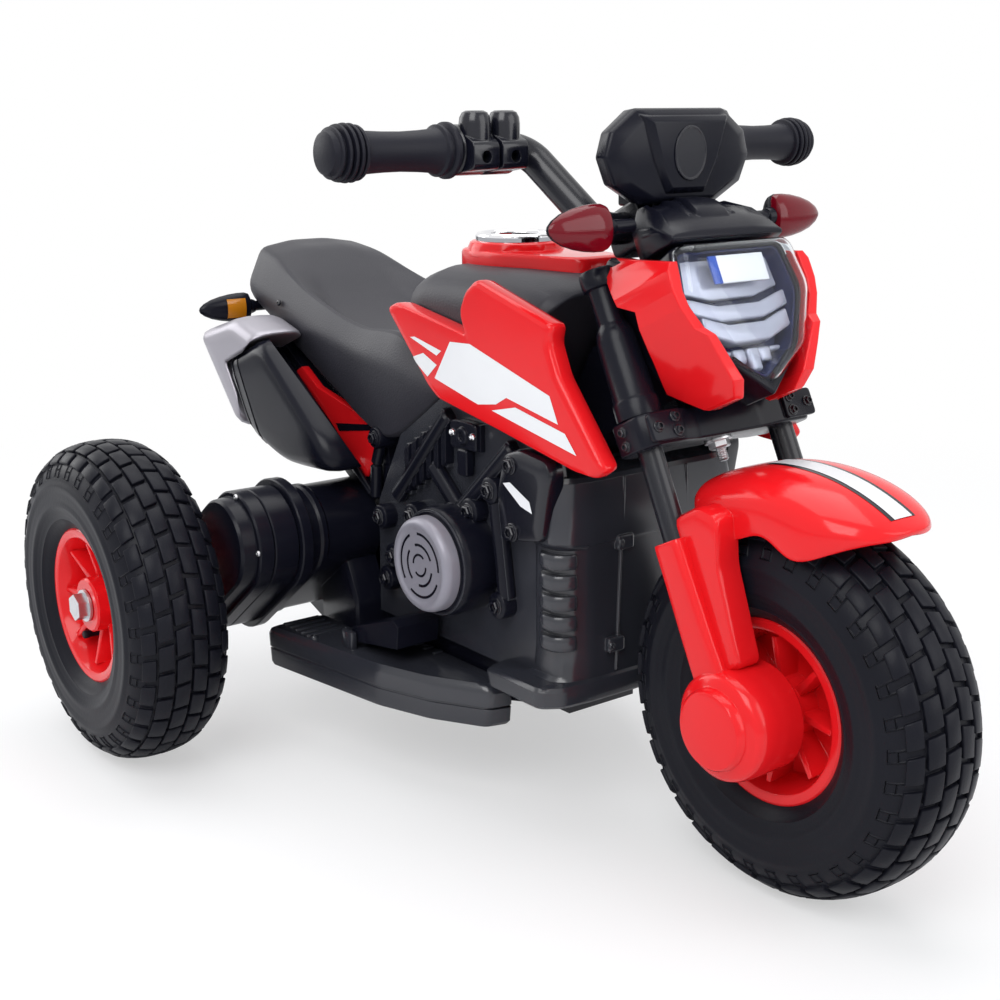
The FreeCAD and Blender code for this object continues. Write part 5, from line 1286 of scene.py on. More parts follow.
@dataclass
class Cockpit(Group):
    """Bar pod, dash cover, signals and grips."""

    body: str = "steering"
    pod: Outline = ((34, 449), (58, 462), (66, 480), (61, 496), (40, 511))
    pod_middle: float = 479.0
    # place along the bike, share of the width and of the height
    pod_rows: Rows = (
        (93.5, 0.62, 0.7), (98, 0.74, 0.8), (112, 0.955, 0.965), (123, 1, 1), (125.5, 0.985, 0.985),
        (130.4, 0.8, 0.86))
    pod_panel: Outline = ((-17, 456.5), (17, 456.5), (29, 478), (38, 506), (-38, 506), (-29, 478))
    pod_panel_layers: Outline = ((126, 1.06), (131.5, 1), (135.2, 0.86))
    oval: Pair = (14.5, 18.0)
    oval_height: float = 482.0
    oval_layers: Outline = ((134, 1), (136, 1), (136.5, 0.96), (136.5, 0.92), (136.1, 0.89), (136.1, 0.4))
    # reach, half width, lowest and highest height, half width on top
    dash: Rows = (
        (15, 36, 311, 338, 26), (22, 42, 303, 342, 32), (34, 47, 301, 338, 36), (48, 50, 301, 330, 40),
        (59, 51.5, 300.6, 317, 46), (65, 50.5, 302, 307, 48))
    # reach, width inside with its height, width outside with its height, and how far the top is drawn in
    ridge: Rows = ((24, 8, 341, 20, 340, 345, 2, 3), (44, 12, 333, 22, 332, 336, 2, 3),
                   (56, 16, 319, 23, 318, 322, 2, 2))
    # reach, half width and height of the top
    tongue: Rows = ((18, 9, 346.5), (34, 11, 343), (48, 14, 335.5), (56, 16, 325), (58, 16, 318))
    # reach, width and height outside, width and height inside
    wing: Rows = (
        (20, 37, 312, 28, 341), (36, 45, 312, 34, 338), (52, 48, 308, 40, 326), (60, 48, 304, 44, 314))
    drop: Outline = (
        (0, 0), (0.7, 0), (0.92, 0.03), (1, 0.1), (1, 0.24), (0.95, 0.4), (0.84, 0.58), (0.66, 0.76),
        (0.42, 0.9), (0.2, 0.975), (0, 1))
    collar: Outline = ((0, -5), (5.6, -5), (6.6, -2), (6.6, 2), (0, 2))
    window_side: Pair = (93.0, 75.0)
    window_height: Pair = (349.5, 333.0)
    grip_centre: Pair = (35.0, 485.0)
    grip: Outline = (
        (11.2, 125), (17.6, 125), (18.6, 126.2), (18.6, 128.6), (17.6, 129.8), (15.4, 130.6),
        (15.4, 132.4), (17, 133.2), (17, 135.4), (15.2, 136.6), (14.2, 140), (13.4, 150), (12.8, 164),
        (13, 178), (13.6, 190), (14.4, 195))
    grip_ribs: Sequence[float] = (17.6, 18.6, 18.8, 18.2, 16.6)
    grip_end: Outline = ((14, 218.6), (13.4, 220.6), (11, 221.8), (0, 222), (0, 218.4), (11.2, 218.4))
    pod_panel_middle: Pair = (0, 480)
    pod_foot: Corners = ((80, -15), (103, 15))
    pod_foot_height: Pair = (446, 470)
    drop_flat_share: float = 0.62
    stalk: float = 4.6
    rib_start: float = 196.0
    rib_pitch: float = 4.4
    rib_root: float = 14.6

    def shield(self) -> list[Piece]:
        """The pod: a faceted shield, a raised middle panel and a foot.

        Returns:
            Its parts.
        """
        rings = []
        for x, wide, tall in self.pod_rows:
            half = [(x, y * wide, self.pod_middle + (z - self.pod_middle) * tall) for y, z in self.pod]
            rings.append(half + [(x, -y, z) for x, y, z in reversed(half)])
        panel = layered(self.pod_panel, self.pod_panel_middle, self.pod_panel_layers, onward)
        foot = slab(box(*self.pod_foot), *self.pod_foot_height, raised(1))
        return [solid(rings, 2.4, 30.0), solid(panel, 1.0, 26.0), solid(foot, 2.0)]

    def badge(self, steps: int = 40) -> Piece:
        """The bare oval on the pod's face.

        Args:
            steps: Steps round it.

        Returns:
            The oval.
        """
        turns = [math.tau * number / steps for number in range(steps)]
        wide, high = self.oval
        oval = [(wide * math.cos(turn), self.oval_height + high * math.sin(turn)) for turn in turns]
        return solid(layered(oval, (0.0, self.oval_height), self.oval_layers, onward), angle=30.0)

    def cover(self) -> list[Piece]:
        """The dash cover between pod and lamp, with a tongue, ridges and wings.

        Returns:
            Its parts.
        """
        rings = []
        for reach, half, low, high, top in self.dash:
            hip = low + (high - low) * 0.55
            loop = ((-half, low), (half, low), (half, hip), (top, high - 2), (top * 0.5, high),
                    (-top * 0.5, high), (-top, high - 2), (-half, hip))
            rings.append([lean(reach, y, u) for y, u in loop])
        tongue = [[lean(v, y, u)
                   for y, u in ((-half, top - 6), (half, top - 6), (half - 3, top), (3 - half, top))]
                  for v, half, top in self.tongue]
        parts = [solid(rings, 2.2, 32.0), solid(tongue, 0.8, 28.0)]
        for side in SIDES:
            ridge = [[lean(v, side * y, u)
                      for y, u in ((inn, low), (out, rim), (out - slope, top), (inn + step, top))]
                     for v, inn, low, out, rim, top, step, slope in self.ridge]
            wing = [[lean(v, side * y, u)
                     for y, u in ((out, low), (out + 3, low + 4), (inn + 2, high), (inn, high - 3))]
                    for v, out, low, inn, high in self.wing]
            parts += [solid(ridge, 0.8), solid(wing, 0.8, 28.0)]
        return parts

    def signal(self, at: Point, side: int, pair: SignalPair) -> list[Piece]:
        """One teardrop signal, split into a back shell and a lens.

        Args:
            at: Its inner end.
            side: Minus one for the right, one for the left.
            pair: Sizes of its pair.

        Returns:
            Shell and lens.
        """
        look = Vector(pair.look).normalized()
        flat = Matrix.Scale(self.drop_flat_share, 4, look)
        halves = []
        for sign, gap in ((1.0, 0.05), (-1.0, 0.07)):
            profile = [(r * pair.radius, a * pair.length) for r, a in self.drop]
            drop = turned(profile, (0.0, 0.0, 0.0), outward(side))
            drop.data.transform(Matrix.Translation(Vector(at) * MM) @ flat)
            halves.append(smooth(cut(drop, Vector(at) + look * pair.radius * gap, look * sign), 40.0))
        return halves

    def window(self, shell: Piece, side: int) -> Piece:
        """A coloured window in the front of a rear signal's shell.

        Args:
            shell: The shell.
            side: Minus one for the right, one for the left.

        Returns:
            The window.
        """
        edges = [((0.0, side * away, 0.0), outward(way))
                 for away, way in zip(self.window_side, (side, -side))]
        edges += [((0.0, 0.0, high), (0.0, 0.0, way)) for high, way in zip(self.window_height, (1.0, -1.0))]
        return decal(shell, edges, 0.5, (1.0, 0.0, 0.0))

    def signals(self) -> None:
        """Builds the front pair on the steering and the rear pair on the chassis."""
        windows: list[Piece] = []
        for pair in (FRONT_SIGNALS, REAR_SIGNALS):
            x, _, z = pair.middle
            shells, lenses = [], []
            for side in SIDES:
                at = (x, side * pair.start, z)
                shell, lens = self.signal(at, side, pair)
                stalk = rod((x, side * pair.root, z), at, self.stalk, 20)
                if pair is REAR_SIGNALS:
                    windows.append(self.window(shell, side))
                shells += [shell, stalk, turned(self.collar, at, outward(side), 24)]
                lenses.append(lens)
            self.seat(f"{pair.name}_signal_shells", shells, BLACK, f"{pair.name}_signals", body=pair.body)
            self.seat(f"{pair.name}_signal_glass", lenses, pair.glass, f"{pair.name}_signal_lenses",
                      body=pair.body)
        self.seat("rear_signal_windows", windows, AMBER, body=REAR_SIGNALS.body)

    def grips(self) -> list[Piece]:
        """Ribbed grips with flanges and rounded ends.

        Returns:
            Both grips.
        """
        profile = list(self.grip)
        for number, high in enumerate(self.grip_ribs):
            start = self.rib_start + number * self.rib_pitch
            profile += [(self.rib_root, start), (high - 0.6, start + 0.6), (high, start + 1.6),
                        (high - 0.3, start + 3.0), (self.rib_root, start + 3.6)]
        return [knob(profile + list(self.grip_end), *self.grip_centre, side, 48) for side in SIDES]

    def dress(self) -> None:
        """Builds the cockpit."""
        self.seat("pod", self.shield(), BLACK, "bar_pod")
        self.seat("pod_oval", [self.badge()], BLACK_GLOSS)
        self.seat("dash", self.cover(), BLACK, "dash_cover")
        self.seat("ribbed_grips", self.grips(), GRIP, "grips")
        self.signals()


@dataclass
class Fork(Group):
    """Legs with hub drums, sleeves, the bolted crown and the stem."""

    body: str = "steering"
    leg_y: float = 62.0
    # height, half length and half width
    blade: Rows = ((20, 14, 10.5), (60, 13.2, 11.5), (100, 12.4, 12), (118, 12.4, 12.2), (122, 12.2, 12))
    drum: Outline = (
        (0, 32.5), (34.5, 32.5), (36.6, 35), (37, 58), (36.6, 68), (35, 73), (32, 75.6), (28.4, 76.2),
        (27.2, 77), (26.6, 81), (25, 83.2), (22.6, 83.9), (0, 83.9))
    sleeve: Outline = (
        (8.7, 205), (15.6, 205), (15.6, 216), (14.8, 218), (14.2, 219), (13.8, 258), (13.2, 263),
        (11.6, 267), (9.8, 269.4), (9.5, 271), (9.5, 294), (12.2, 295), (12.8, 297), (12.8, 305),
        (12, 307), (8.7, 307))
    crown: Outline = (
        (-20, -66), (-12, -78), (12, -78), (20, -70), (20, -46), (15, -30), (15, 30), (20, 46),
        (20, 70), (12, 78), (-12, 78), (-20, 66), (-20, 46), (-15, 30), (-15, -30), (-20, -46))
    face_bolts: Outline = ((54, 189), (54, 198.5), (70, 193.5))
    end_bolts: Sequence[float] = (188.5, 198.0)
    nut: Outline = ((0, 175.6), (6.4, 175.6), (7.6, 176.6), (7.6, 180.6), (0, 180.6))
    washer: Outline = ((0, 180.5), (9.6, 180.5), (9.6, 182.3), (0, 182.3))
    thread_turns: int = 5
    crown_height: Pair = (182.4, 204.6)
    cap: Corners = ((48, 184), (76, 203))
    cap_depth: Pair = (19.0, 23.0)
    end_bolt_y: float = 77.8
    end_bolt_reach: float = -3.0
    shaft_top: float = 326.0
    shaft_radius: float = 10.9
    clamp: Corners = ((-27, 322), (10.8, 353.6))
    clamp_half: float = 18.9
    thread_ends: Pair = (167.0, 176.0)
    thread_radii: Pair = (3.8, 3.2)
    thread_tip: float = 2.6
    thread_lead: float = 1.2
    thread_pitch: float = 1.6

    def legs(self) -> list[Piece]:
        """The red legs: rounded blades that run into stepped hub drums.

        Returns:
            Blades and drums.
        """
        pieces = []
        for side in SIDES:
            rings = []
            for height, half, wide in self.blade:
                loop = rounded(box((-half, -wide), (half, wide)), 6.0)
                rings.append([lean(v, side * (self.leg_y + away), height) for v, away in loop])
            pieces += [solid(rings, 0.8), knob(self.drum, FRONT_AXLE[0], FRONT_AXLE[2], side, 72)]
        return pieces

    def yoke(self) -> list[Piece]:
        """The lower crown: a bridge with clamp blocks, and a cap on each.

        Returns:
            Bridge and caps.
        """
        rings = [[lean(v, y, u) for v, y in rounded(self.crown, 3.0, 3)] for u in self.crown_height]
        cap = rounded(box(*self.cap), 3.0, 3)
        caps = [solid([[lean(v, side * y, u) for y, u in cap] for v in self.cap_depth], 1.0)
                for side in SIDES]
        return [solid(rings, 2.0)] + caps

    def bolts(self) -> list[Piece]:
        """Clamp bolts on the crown's face and ends.

        Returns:
            The bolts.
        """
        row = []
        for side in SIDES:
            row += [bolt(lean(self.cap_depth[1], side * away, height), FORK_FACE, 3.0, 3.0)
                    for away, height in self.face_bolts]
            row += [bolt(lean(self.end_bolt_reach, side * self.end_bolt_y, height), outward(side), 3.0, 2.6)
                    for height in self.end_bolts]
        return row

    def thread(self) -> list[Pair]:
        """Profile of the threaded end under the crown.

        Returns:
            Radius and height along the steering axis.
        """
        low, high = self.thread_ends
        crest, root = self.thread_radii
        profile = [(0, low), (self.thread_tip, low)]
        for turn in range(self.thread_turns):
            start = low + self.thread_lead + turn * self.thread_pitch
            profile += [(crest, start), (root, start + self.thread_pitch / 2)]
        return profile + [(root, high), (0, high)]

    def on_axis(self, profile: Outline, steps: int, side: float = 0.0) -> Piece:
        """Turns a profile along the steering axis or beside it."""
        return turned(profile, lean(0.0, side, 0.0), STEER_AXIS, steps)

    def dress(self) -> None:
        """Builds the fork's visible pieces."""
        foot, top = (lean(0.0, 0.0, height) for height in (self.crown_height[0], self.shaft_top))
        shaft = rod(foot, top, self.shaft_radius, 36)
        clamp = rounded(box(*self.clamp), 7.0, 5)
        head = solid(slab(clamp, -self.clamp_half, self.clamp_half, fork_side(1)), 2.4)
        self.seat("stem", [shaft, head], BAR, "steering_stem", slot="steel")
        fastening = [self.on_axis(profile, steps)
                     for profile, steps in ((self.nut, 6), (self.washer, 32), (self.thread(), 24))]
        self.seat("stem_nut", fastening, STEEL)
        self.seat("fork_blades", self.legs(), RED, "fork_legs")
        sleeves = [self.on_axis(self.sleeve, 48, side * self.leg_y) for side in SIDES]
        self.seat("stepped_sleeves", sleeves, BLACK, "fork_sleeves")
        self.seat("crown", self.yoke(), BLACK, "fork_crown")
        self.seat("crown_bolts", self.bolts(), BLACK_GLOSS)


@dataclass
class EngineSides(Group):
    """Round tubes, bolts, louvres and a glossy plate on both engine shells, and the socket's frame."""

    tubes: Sequence[Outline] = (
        ((-98, 216.4), (-26, 293.2)), ((-13.5, 220.8), (51.5, 280.8)), ((-48, 250), (-16, 223.6)),
        ((31, 238.8), (42, 166)), ((-71, 206.8), (-98.5, 168.4)))
    tube_away: float = 83.4
    bosses: Outline = (
        (-71, 206.8), (5, 225.6), (30, 246), (-98.5, 168.4), (-109, 147.6), (38, 161.2), (-116, 196.8))
    boss: Outline = ((0, 79), (10.4, 79), (10.4, 88.2), (9.6, 90.6), (8.4, 91.3), (0, 91.3))
    boss_away: float = 91.0
    fins: Outline = ((-80.3, 240), (-70.3, 246), (-60.3, 252), (-50.3, 258), (-40.3, 264), (-30.3, 270))
    fin: Outline = ((-3.2, -19), (3, -15), (3.2, 23), (-3, 19))
    fin_layers: Outline = ((79, 1), (86, 1), (87.6, 0.9))
    drum_rim: Outline = ((37, 79.5), (41.6, 79.5), (41.6, 104), (40.6, 108), (38.4, 110.2), (36.4, 110.2))
    plate: Outline = ((49, 277), (66, 283), (98, 279), (101, 268), (92, 221), (46, 212), (41, 246))
    plate_layers: Outline = ((79.5, 1), (89.5, 1), (92, 0.965), (93, 0.9), (93.2, 0.6))
    plate_bolts: Outline = ((58, 270), (60, 222))
    stripe: Outline = ((50, 256), (58, 258), (80, 248), (83, 240), (70, 243))
    socket: Outline = ((-22, 270), (-22, 290), (-14, 291), (2, 291), (10, 290), (10, 270))
    socket_layers: Outline = ((81, 1), (86.2, 1), (87.2, 0.94))
    flap_layers: Outline = ((82, 1), (87.6, 1), (88.6, 0.9))
    port: Outline = ((2.6, 86), (6.8, 86), (6.8, 88.4), (5.8, 89.4), (3.4, 89.4), (2.6, 88.4))
    socket_screws: Sequence[float] = (-18.4, 6.4)
    tube_radius: float = 7.0
    # radius and height of a bolt head
    bolt_head: Pair = (5.2, 4.4)
    plate_middle: Pair = (70, 248)
    stripe_lift: float = 0.3
    socket_middle: Pair = (-6, 280)
    flap: Corners = ((-12, 250), (0, 270))
    flap_middle: Pair = (-6, 260)
    screw_height: float = 281.0
    screw_radius: float = 3.1

    def bars(self, side: int) -> list[Piece]:
        """Round tubes with flanged ends, louvres and the drum's rim.

        Args:
            side: Minus one for the right, one for the left.

        Returns:
            All of them.
        """
        away = side * self.tube_away
        pieces = [rod((x1, away, z1), (x2, away, z2), self.tube_radius, 20, 2.0)
                  for (x1, z1), (x2, z2) in self.tubes]
        pieces += [knob(self.boss, x, z, side, 28) for x, z in self.bosses]
        for x, z in self.fins:
            loop = rounded([(x + a, z + b) for a, b in self.fin], 1.6, 2)
            pieces.append(solid(layered(loop, (x, z), self.fin_layers, beside(side)), angle=30.0))
        return pieces + [knob(self.drum_rim, *SPEAKER, side, 64)]

    def bolts(self, side: int) -> list[Piece]:
        """Socket bolts on the bosses and the glossy plate.

        Args:
            side: Minus one for the right, one for the left.

        Returns:
            The bolts.
        """
        rows = ((self.bosses, self.boss_away), (self.plate_bolts, self.plate_layers[-1][0]))
        return [bolt((x, side * away, z), outward(side), *self.bolt_head)
                for spots, away in rows for x, z in spots]

    def dress(self) -> None:
        """Builds both engine sides and the socket's frame, flap, port and bright screws."""
        plate = rounded(self.plate, 5.0)
        for side, word in SIDES.items():
            self.seat(f"engine_bars_{word}", self.bars(side), BLACK)
            self.seat(f"engine_bolts_{word}", self.bolts(side), BLACK_GLOSS)
            cover = solid(layered(plate, self.plate_middle, self.plate_layers, beside(side)), angle=34.0)
            stripe = decal(cover, fence(self.stripe), self.stripe_lift, outward(side))
            self.seat(f"engine_plate_{word}", [cover], BLACK_GLOSS)
            self.seat(f"plate_stripe_{side}", [stripe], WHITE)
        flap = rounded(box(*self.flap), 2.0, 3)
        socket = rounded(self.socket, 3.0, 3)
        frame = [solid(layered(socket, self.socket_middle, self.socket_layers, beside(-1)), angle=30.0),
                 solid(layered(flap, self.flap_middle, self.flap_layers, beside(-1)), angle=30.0),
                 knob(self.port, *self.socket_middle, -1, 32)]
        self.seat("socket_frame", frame, BLACK)
        face = 0.2 - self.socket_layers[-1][0]
        screws = [screw((x, face, self.screw_height), outward(-1), self.screw_radius)
                  for x in self.socket_screws]
        self.seat("socket_screws", screws, CHROME, slot="steel")


@dataclass
class FrontShell(Group):
    """The smooth front of the hull: a shoulder, a ribbed bay at each corner, a broad lip, seams and clips."""

    # height, then the plan's left half as pairs of x and y
    rows: Rows = (
        (98.4, 60, 72, 64, 90, 92, 90, 101, 76, 103, 54),
        (100.4, 38, 72, 42, 97, 95, 97, 105, 82, 107, 56),
        (103, 34, 72, 38, 100, 97, 100, 107, 85, 109, 58),
        (114, 31, 72, 36, 101, 98, 101, 108, 86, 110, 60),
        (116.6, 32, 72, 38, 98, 96, 98.6, 106.6, 84, 109, 59),
        (118, 60, 72, 62, 86, 94, 86, 103.4, 77, 106.4, 58),
        (121, 66, 72, 68, 82.6, 94, 82.6, 102.6, 75, 106, 58),
        (138, 68, 72, 70, 81.8, 94, 81.8, 102.4, 74, 106, 58),
        (214, 68, 72, 70, 81.8, 94, 81.8, 102.4, 74, 106, 58),
        (217, 62, 72, 64, 83.6, 96, 86, 105, 78, 107.6, 59),
        (220, 58, 72, 61, 84.6, 97, 88, 106.6, 79, 108.4, 60),
        (246, 58, 72, 64, 84, 95, 87, 105, 78, 108, 60),
        (262, 62, 72, 66, 82, 93, 84, 103, 76, 106.6, 58),
        (265, 66, 70, 69, 78, 91, 80, 100, 73, 104, 55))
    rib: Outline = ((78.5, 74), (79.5, 85.4), (86, 88.4), (97, 87), (103.5, 80.5), (106.5, 70))
    rib_layers: Outline = ((0, 0.93), (1.2, 0.975), (3.2, 1), (7.4, 1), (9.4, 0.975), (10.6, 0.93))
    ribs: int = 5
    rib_foot: float = 141.0
    rib_pitch: float = 15.0
    seam: tuple[Point, Point] = ((107, 30, 262), (106.2, 35, 119))
    clips: Outline = ((30, 215), (38, 140))
    clip: Point = (7.0, 15.0, 11.0)
    clip_x: float = 107.4
    pin_x: float = 110.2
    pin_shift: float = 5.0
    pin_radius: float = 2.6
    rib_middle: Pair = (90, 70)
    seam_radius: float = 1.1
    corner: float = 5.0

    def dress(self) -> None:
        """Builds the shell with its ribs, seams and clips."""
        plans = [(height, list(zip(plan[0::2], plan[1::2]))) for height, *plan in self.rows]
        rings = [[(x, y, height) for x, y in rounded(both_sides(half), self.corner, 3)]
                 for height, half in plans]
        pieces = [solid(rings, angle=34.0)]
        rib = rounded(self.rib, 4.0)
        for side in SIDES:
            for number in range(self.ribs):
                place = raised(side, self.rib_foot + number * self.rib_pitch)
                pieces.append(solid(layered(rib, self.rib_middle, self.rib_layers, place), angle=50.0))
            start, end = ((x, side * y, z) for x, y, z in self.seam)
            pieces.append(rod(start, end, self.seam_radius, 12, 0.4))
            for y, z in self.clips:
                pin = (self.pin_x, side * (y + self.pin_shift), z)
                pieces += [block(self.clip, (self.clip_x, side * y, z), 1.8),
                           screw(pin, (1.0, 0.0, 0.0), self.pin_radius)]
        self.seat("front_shell", pieces, HULL_BLACK_PAINTED_LIGHT, "radiator_shroud")


@dataclass
class Speakers(Group):
    """Grey discs on the engine drums with rings of arc slots, drawn as dark strips of painted shade."""

    profile: Outline = (
        (0, 110.4), (35, 110.4), (36, 111.4), (36, 117.5), (35.2, 120.6), (33.2, 123), (30.6, 123.9),
        (28.6, 123.4), (27.6, 122.6), (26.4, 122.4), (0, 122.4))
    # radius, width, count and sweep in degrees
    arcs: Rows = ((24, 2, 3, 96), (15.5, 2, 3, 86), (8, 1.8, 2, 130))
    slot_depth: Pair = (121.9, 122.55)
    slot_steps: int = 14
    # degrees from one ring's first slot to the next ring's
    ring_turn: float = 25.0

    def arc(self, side: int, radius: float, width: float, start: float, sweep: float) -> Piece:
        """One arc slot, drawn as a dark strip that paints the shade inside it.

        Args:
            side: Minus one for the right, one for the left.
            radius: Radius of its middle line.
            width: Its width.
            start: Where it starts in degrees.
            sweep: How far it runs in degrees.

        Returns:
            The slot's dark strip of painted shade.
        """
        section = box((radius - width / 2, self.slot_depth[0]), (radius + width / 2, self.slot_depth[1]))
        x, z = SPEAKER
        rings = []
        for step in range(self.slot_steps + 1):
            turn = math.radians(start + sweep * step / self.slot_steps)
            rings.append([(x + r * math.cos(turn), side * away, z + r * math.sin(turn))
                          for r, away in section])
        return solid(rings)

    def dress(self) -> None:
        """Builds both discs and their slots."""
        discs = [knob(self.profile, *SPEAKER, side, LARGE_ROUND) for side in SIDES]
        slots = [self.arc(side, radius, width, 360.0 / count * turn + self.ring_turn * number, sweep)
                 for side in SIDES for number, (radius, width, count, sweep) in enumerate(self.arcs)
                 for turn in range(count)]
        self.seat("speaker_discs", discs, GREY, "speaker_grilles")
        # The slots are black strips on the disc face: painted shade in place of cut slots.
        self.seat("speaker_slot_shade", slots, BLACK)


@dataclass
class Exhaust(Group):
    """The dummy muffler and its silver end."""

    outline: Outline = (
        (-140, 230), (-147, 256), (-247.5, 331), (-315, 305), (-278, 252), (-250, 237), (-210, 226.5))
    tip: Outline = ((-248, 331.2), (-292, 343), (-361, 324), (-290, 245), (-278, 252.5), (-315, 305.4))
    layers: Outline = ((74.4, 0.86), (77, 0.93), (83, 0.985), (92, 1), (104, 1), (113, 0.975), (119, 0.92),
                       (122.6, 0.84), (123.8, 0.74), (124, 0.5))
    band: Outline = ((-304, 310), (-299, 312), (-257, 240), (-263, 238))
    band_shifts: Sequence[float] = (0.0, 12.0)
    # the plane along the tail strut that trims the inner front corner
    strut: Plane = ((-150, -71, 212), (0.3329331, 0.7685388, 0.5463512))
    middle: Pair = (-225, 276)
    tip_middle: Pair = (-290, 300)
    band_lift: float = 0.6

    def dress(self) -> None:
        """Builds the muffler, its bands and its end."""
        shape = rounded(self.outline, 18.0, 6)
        body = solid(layered(shape, self.middle, self.layers, beside(-1)), angle=42.0)
        spot, way = self.strut
        smooth(cut(body, Vector(spot), Vector(way).normalized()), 42.0)
        bands = [decal(body, fence([(shift + x, z) for x, z in self.band]), self.band_lift, outward(-1))
                 for shift in self.band_shifts]
        self.seat("muffler_bands", bands, BLACK_GLOSS)
        self.seat("muffler_shell", [body], BLACK, "muffler")
        shape = rounded(self.tip, 10.0, 5)
        end = solid(layered(shape, self.tip_middle, self.layers, beside(-1)), angle=42.0)
        self.seat("muffler_end", [end], SILVER, "muffler_tip")


@dataclass
class TailSides(Group):
    """Red panels under the seat with a black band, the hanger of the muffler and the bolted braces."""

    outline: Outline = (
        (-274, 293), (-222, 260), (-163, 217), (-141, 250), (-143, 264), (-164, 266), (-178, 272),
        (-237, 284), (-262, 299))
    layers: Outline = ((66.2, 1), (71.4, 1), (72.3, 0.985), (72.6, 0.96), (72.6, 0.6))
    band: Outline = ((-208, 257), (-145, 265), (-147, 260), (-203, 251))
    hanger: Outline = ((-339, 326), (-152, 207), (-160, 197), (-262, 258), (-330, 304))
    tube: tuple[Point, Point] = ((-320, -75.5, 326), (-150, -75.5, 207))
    brace: Outline = ((-131, 258), (-141, 234), (-143, 205))
    boss: Outline = ((0, 66), (9, 66), (9, 82.6), (8, 84.4), (0, 84.4))
    middle: Pair = (-200, 258)
    band_lift: float = 0.3
    hanger_depth: Pair = (66.0, 73.4)
    tube_radius: float = 3.2
    brace_away: float = 76.0
    brace_radius: float = 5.0
    bolt_away: float = 84.2

    def dress(self) -> None:
        """Builds both tail sides."""
        path = rounded(self.outline, 3.0, 3)
        panels = [solid(layered(path, self.middle, self.layers, beside(side)), angle=30.0) for side in SIDES]
        bands = [decal(panel, fence(self.band), self.band_lift, outward(side))
                 for panel, side in zip(panels, SIDES)]
        self.seat("tail_reds", panels, RED, "tail_panels")
        self.seat("tail_bands", bands, BLACK_GLOSS)
        hanger = slab(rounded(self.hanger, 4.0, 3), *self.hanger_depth, beside(-1))
        pieces = [solid(hanger, 1.0), rod(*self.tube, self.tube_radius, 20)]
        x, z = self.brace[0]
        for side in SIDES:
            spots = [(a, side * self.brace_away, b) for a, b in self.brace]
            pieces += [rod(start, end, self.brace_radius, 20, 2.0) for start, end in zip(spots, spots[1:])]
            pieces += [knob(self.boss, x, z, side, 28),
                       bolt((x, side * self.bolt_away, z), outward(side), 4.6, 4.0)]
        self.seat("tail_braces", pieces, BLACK)


@dataclass
class Boards(Group):
    """Footboards with seams, ribs and studs, the pedal's lugs and the screws of the gear case."""

    plan: Outline = ((-200, 152), (-61, 132), (-12, 116), (30, 92), (35, 72.6), (-138, 72.6), (-138, 100.4),
                     (-200, 100.4))
    layers: Outline = (
        (63.2, 0.965), (66, 0.985), (77.2, 0.992), (77.6, 0.972), (78.8, 0.972), (79.2, 0.995), (90, 1),
        (94.6, 0.975), (96.9, 0.93))
    rib_height: float = 97.2
    # size, first place, width from the middle, pitch and count
    rib_rows: Sequence[tuple[Point, float, float, float, int]] = (
        ((3.6, 34, 2.2), -190, 124, 9, 5), ((4.2, 9, 2.2), -120, 79.5, 13, 6))
    studs: Outline = ((-146, 138), (-146, 108))
    lug: Point = (14.0, 6.0, 17.0)
    lug_sides: Sequence[float] = (-82.2, -127.8)
    # axle that a screw of the gear case stands about, and its angle in degrees
    case_screws: Sequence[tuple[Point, float]] = (
        (MOTOR, 80), (MOTOR, 0), (REAR_AXLE, 150), (REAR_AXLE, 235), (REAR_AXLE, 300))
    case_radius: float = 39.6
    case_away: float = 186.2
    middle: Pair = (-95, 108)
    stud_height: float = 97.0
    stud_radius: float = 3.4
    lug_x: float = -107.5
    lug_height: float = 102.8

    def board(self, side: int) -> list[Piece]:
        """One board: a shell with a seam and a chamfered top, ribs and studs.

        Args:
            side: Minus one for the right, one for the left.

        Returns:
            Its parts.
        """
        plan = rounded(self.plan, 5.0)
        pieces = [solid(layered(plan, self.middle, self.layers, raised(side)), angle=34.0)]
        for size, first, away, pitch, count in self.rib_rows:
            pieces += [block(size, (first + number * pitch, side * away, self.rib_height), 0.8)
                       for number in range(count)]
        return pieces + [screw((x, side * y, self.stud_height), UP, self.stud_radius) for x, y in self.studs]

    def dress(self) -> None:
        """Builds both boards and the screws."""
        lugs = [block(self.lug, (self.lug_x, away, self.lug_height), 1.6) for away in self.lug_sides]
        rests = smooth(join(self.board(-1) + self.board(1) + lugs), 34.0)
        self.seat("foot_rests", [rests], HULL_BLACK_PAINTED_LIGHT, "footboards")
        screws = []
        for (x, _, z), angle in self.case_screws:
            turn = math.radians(angle)
            ahead, above = self.case_radius * math.cos(turn), self.case_radius * math.sin(turn)
            screws.append(screw((x + ahead, -self.case_away, z + above), outward(-1), 2.3))
        self.seat("gear_screws", screws, STEEL)


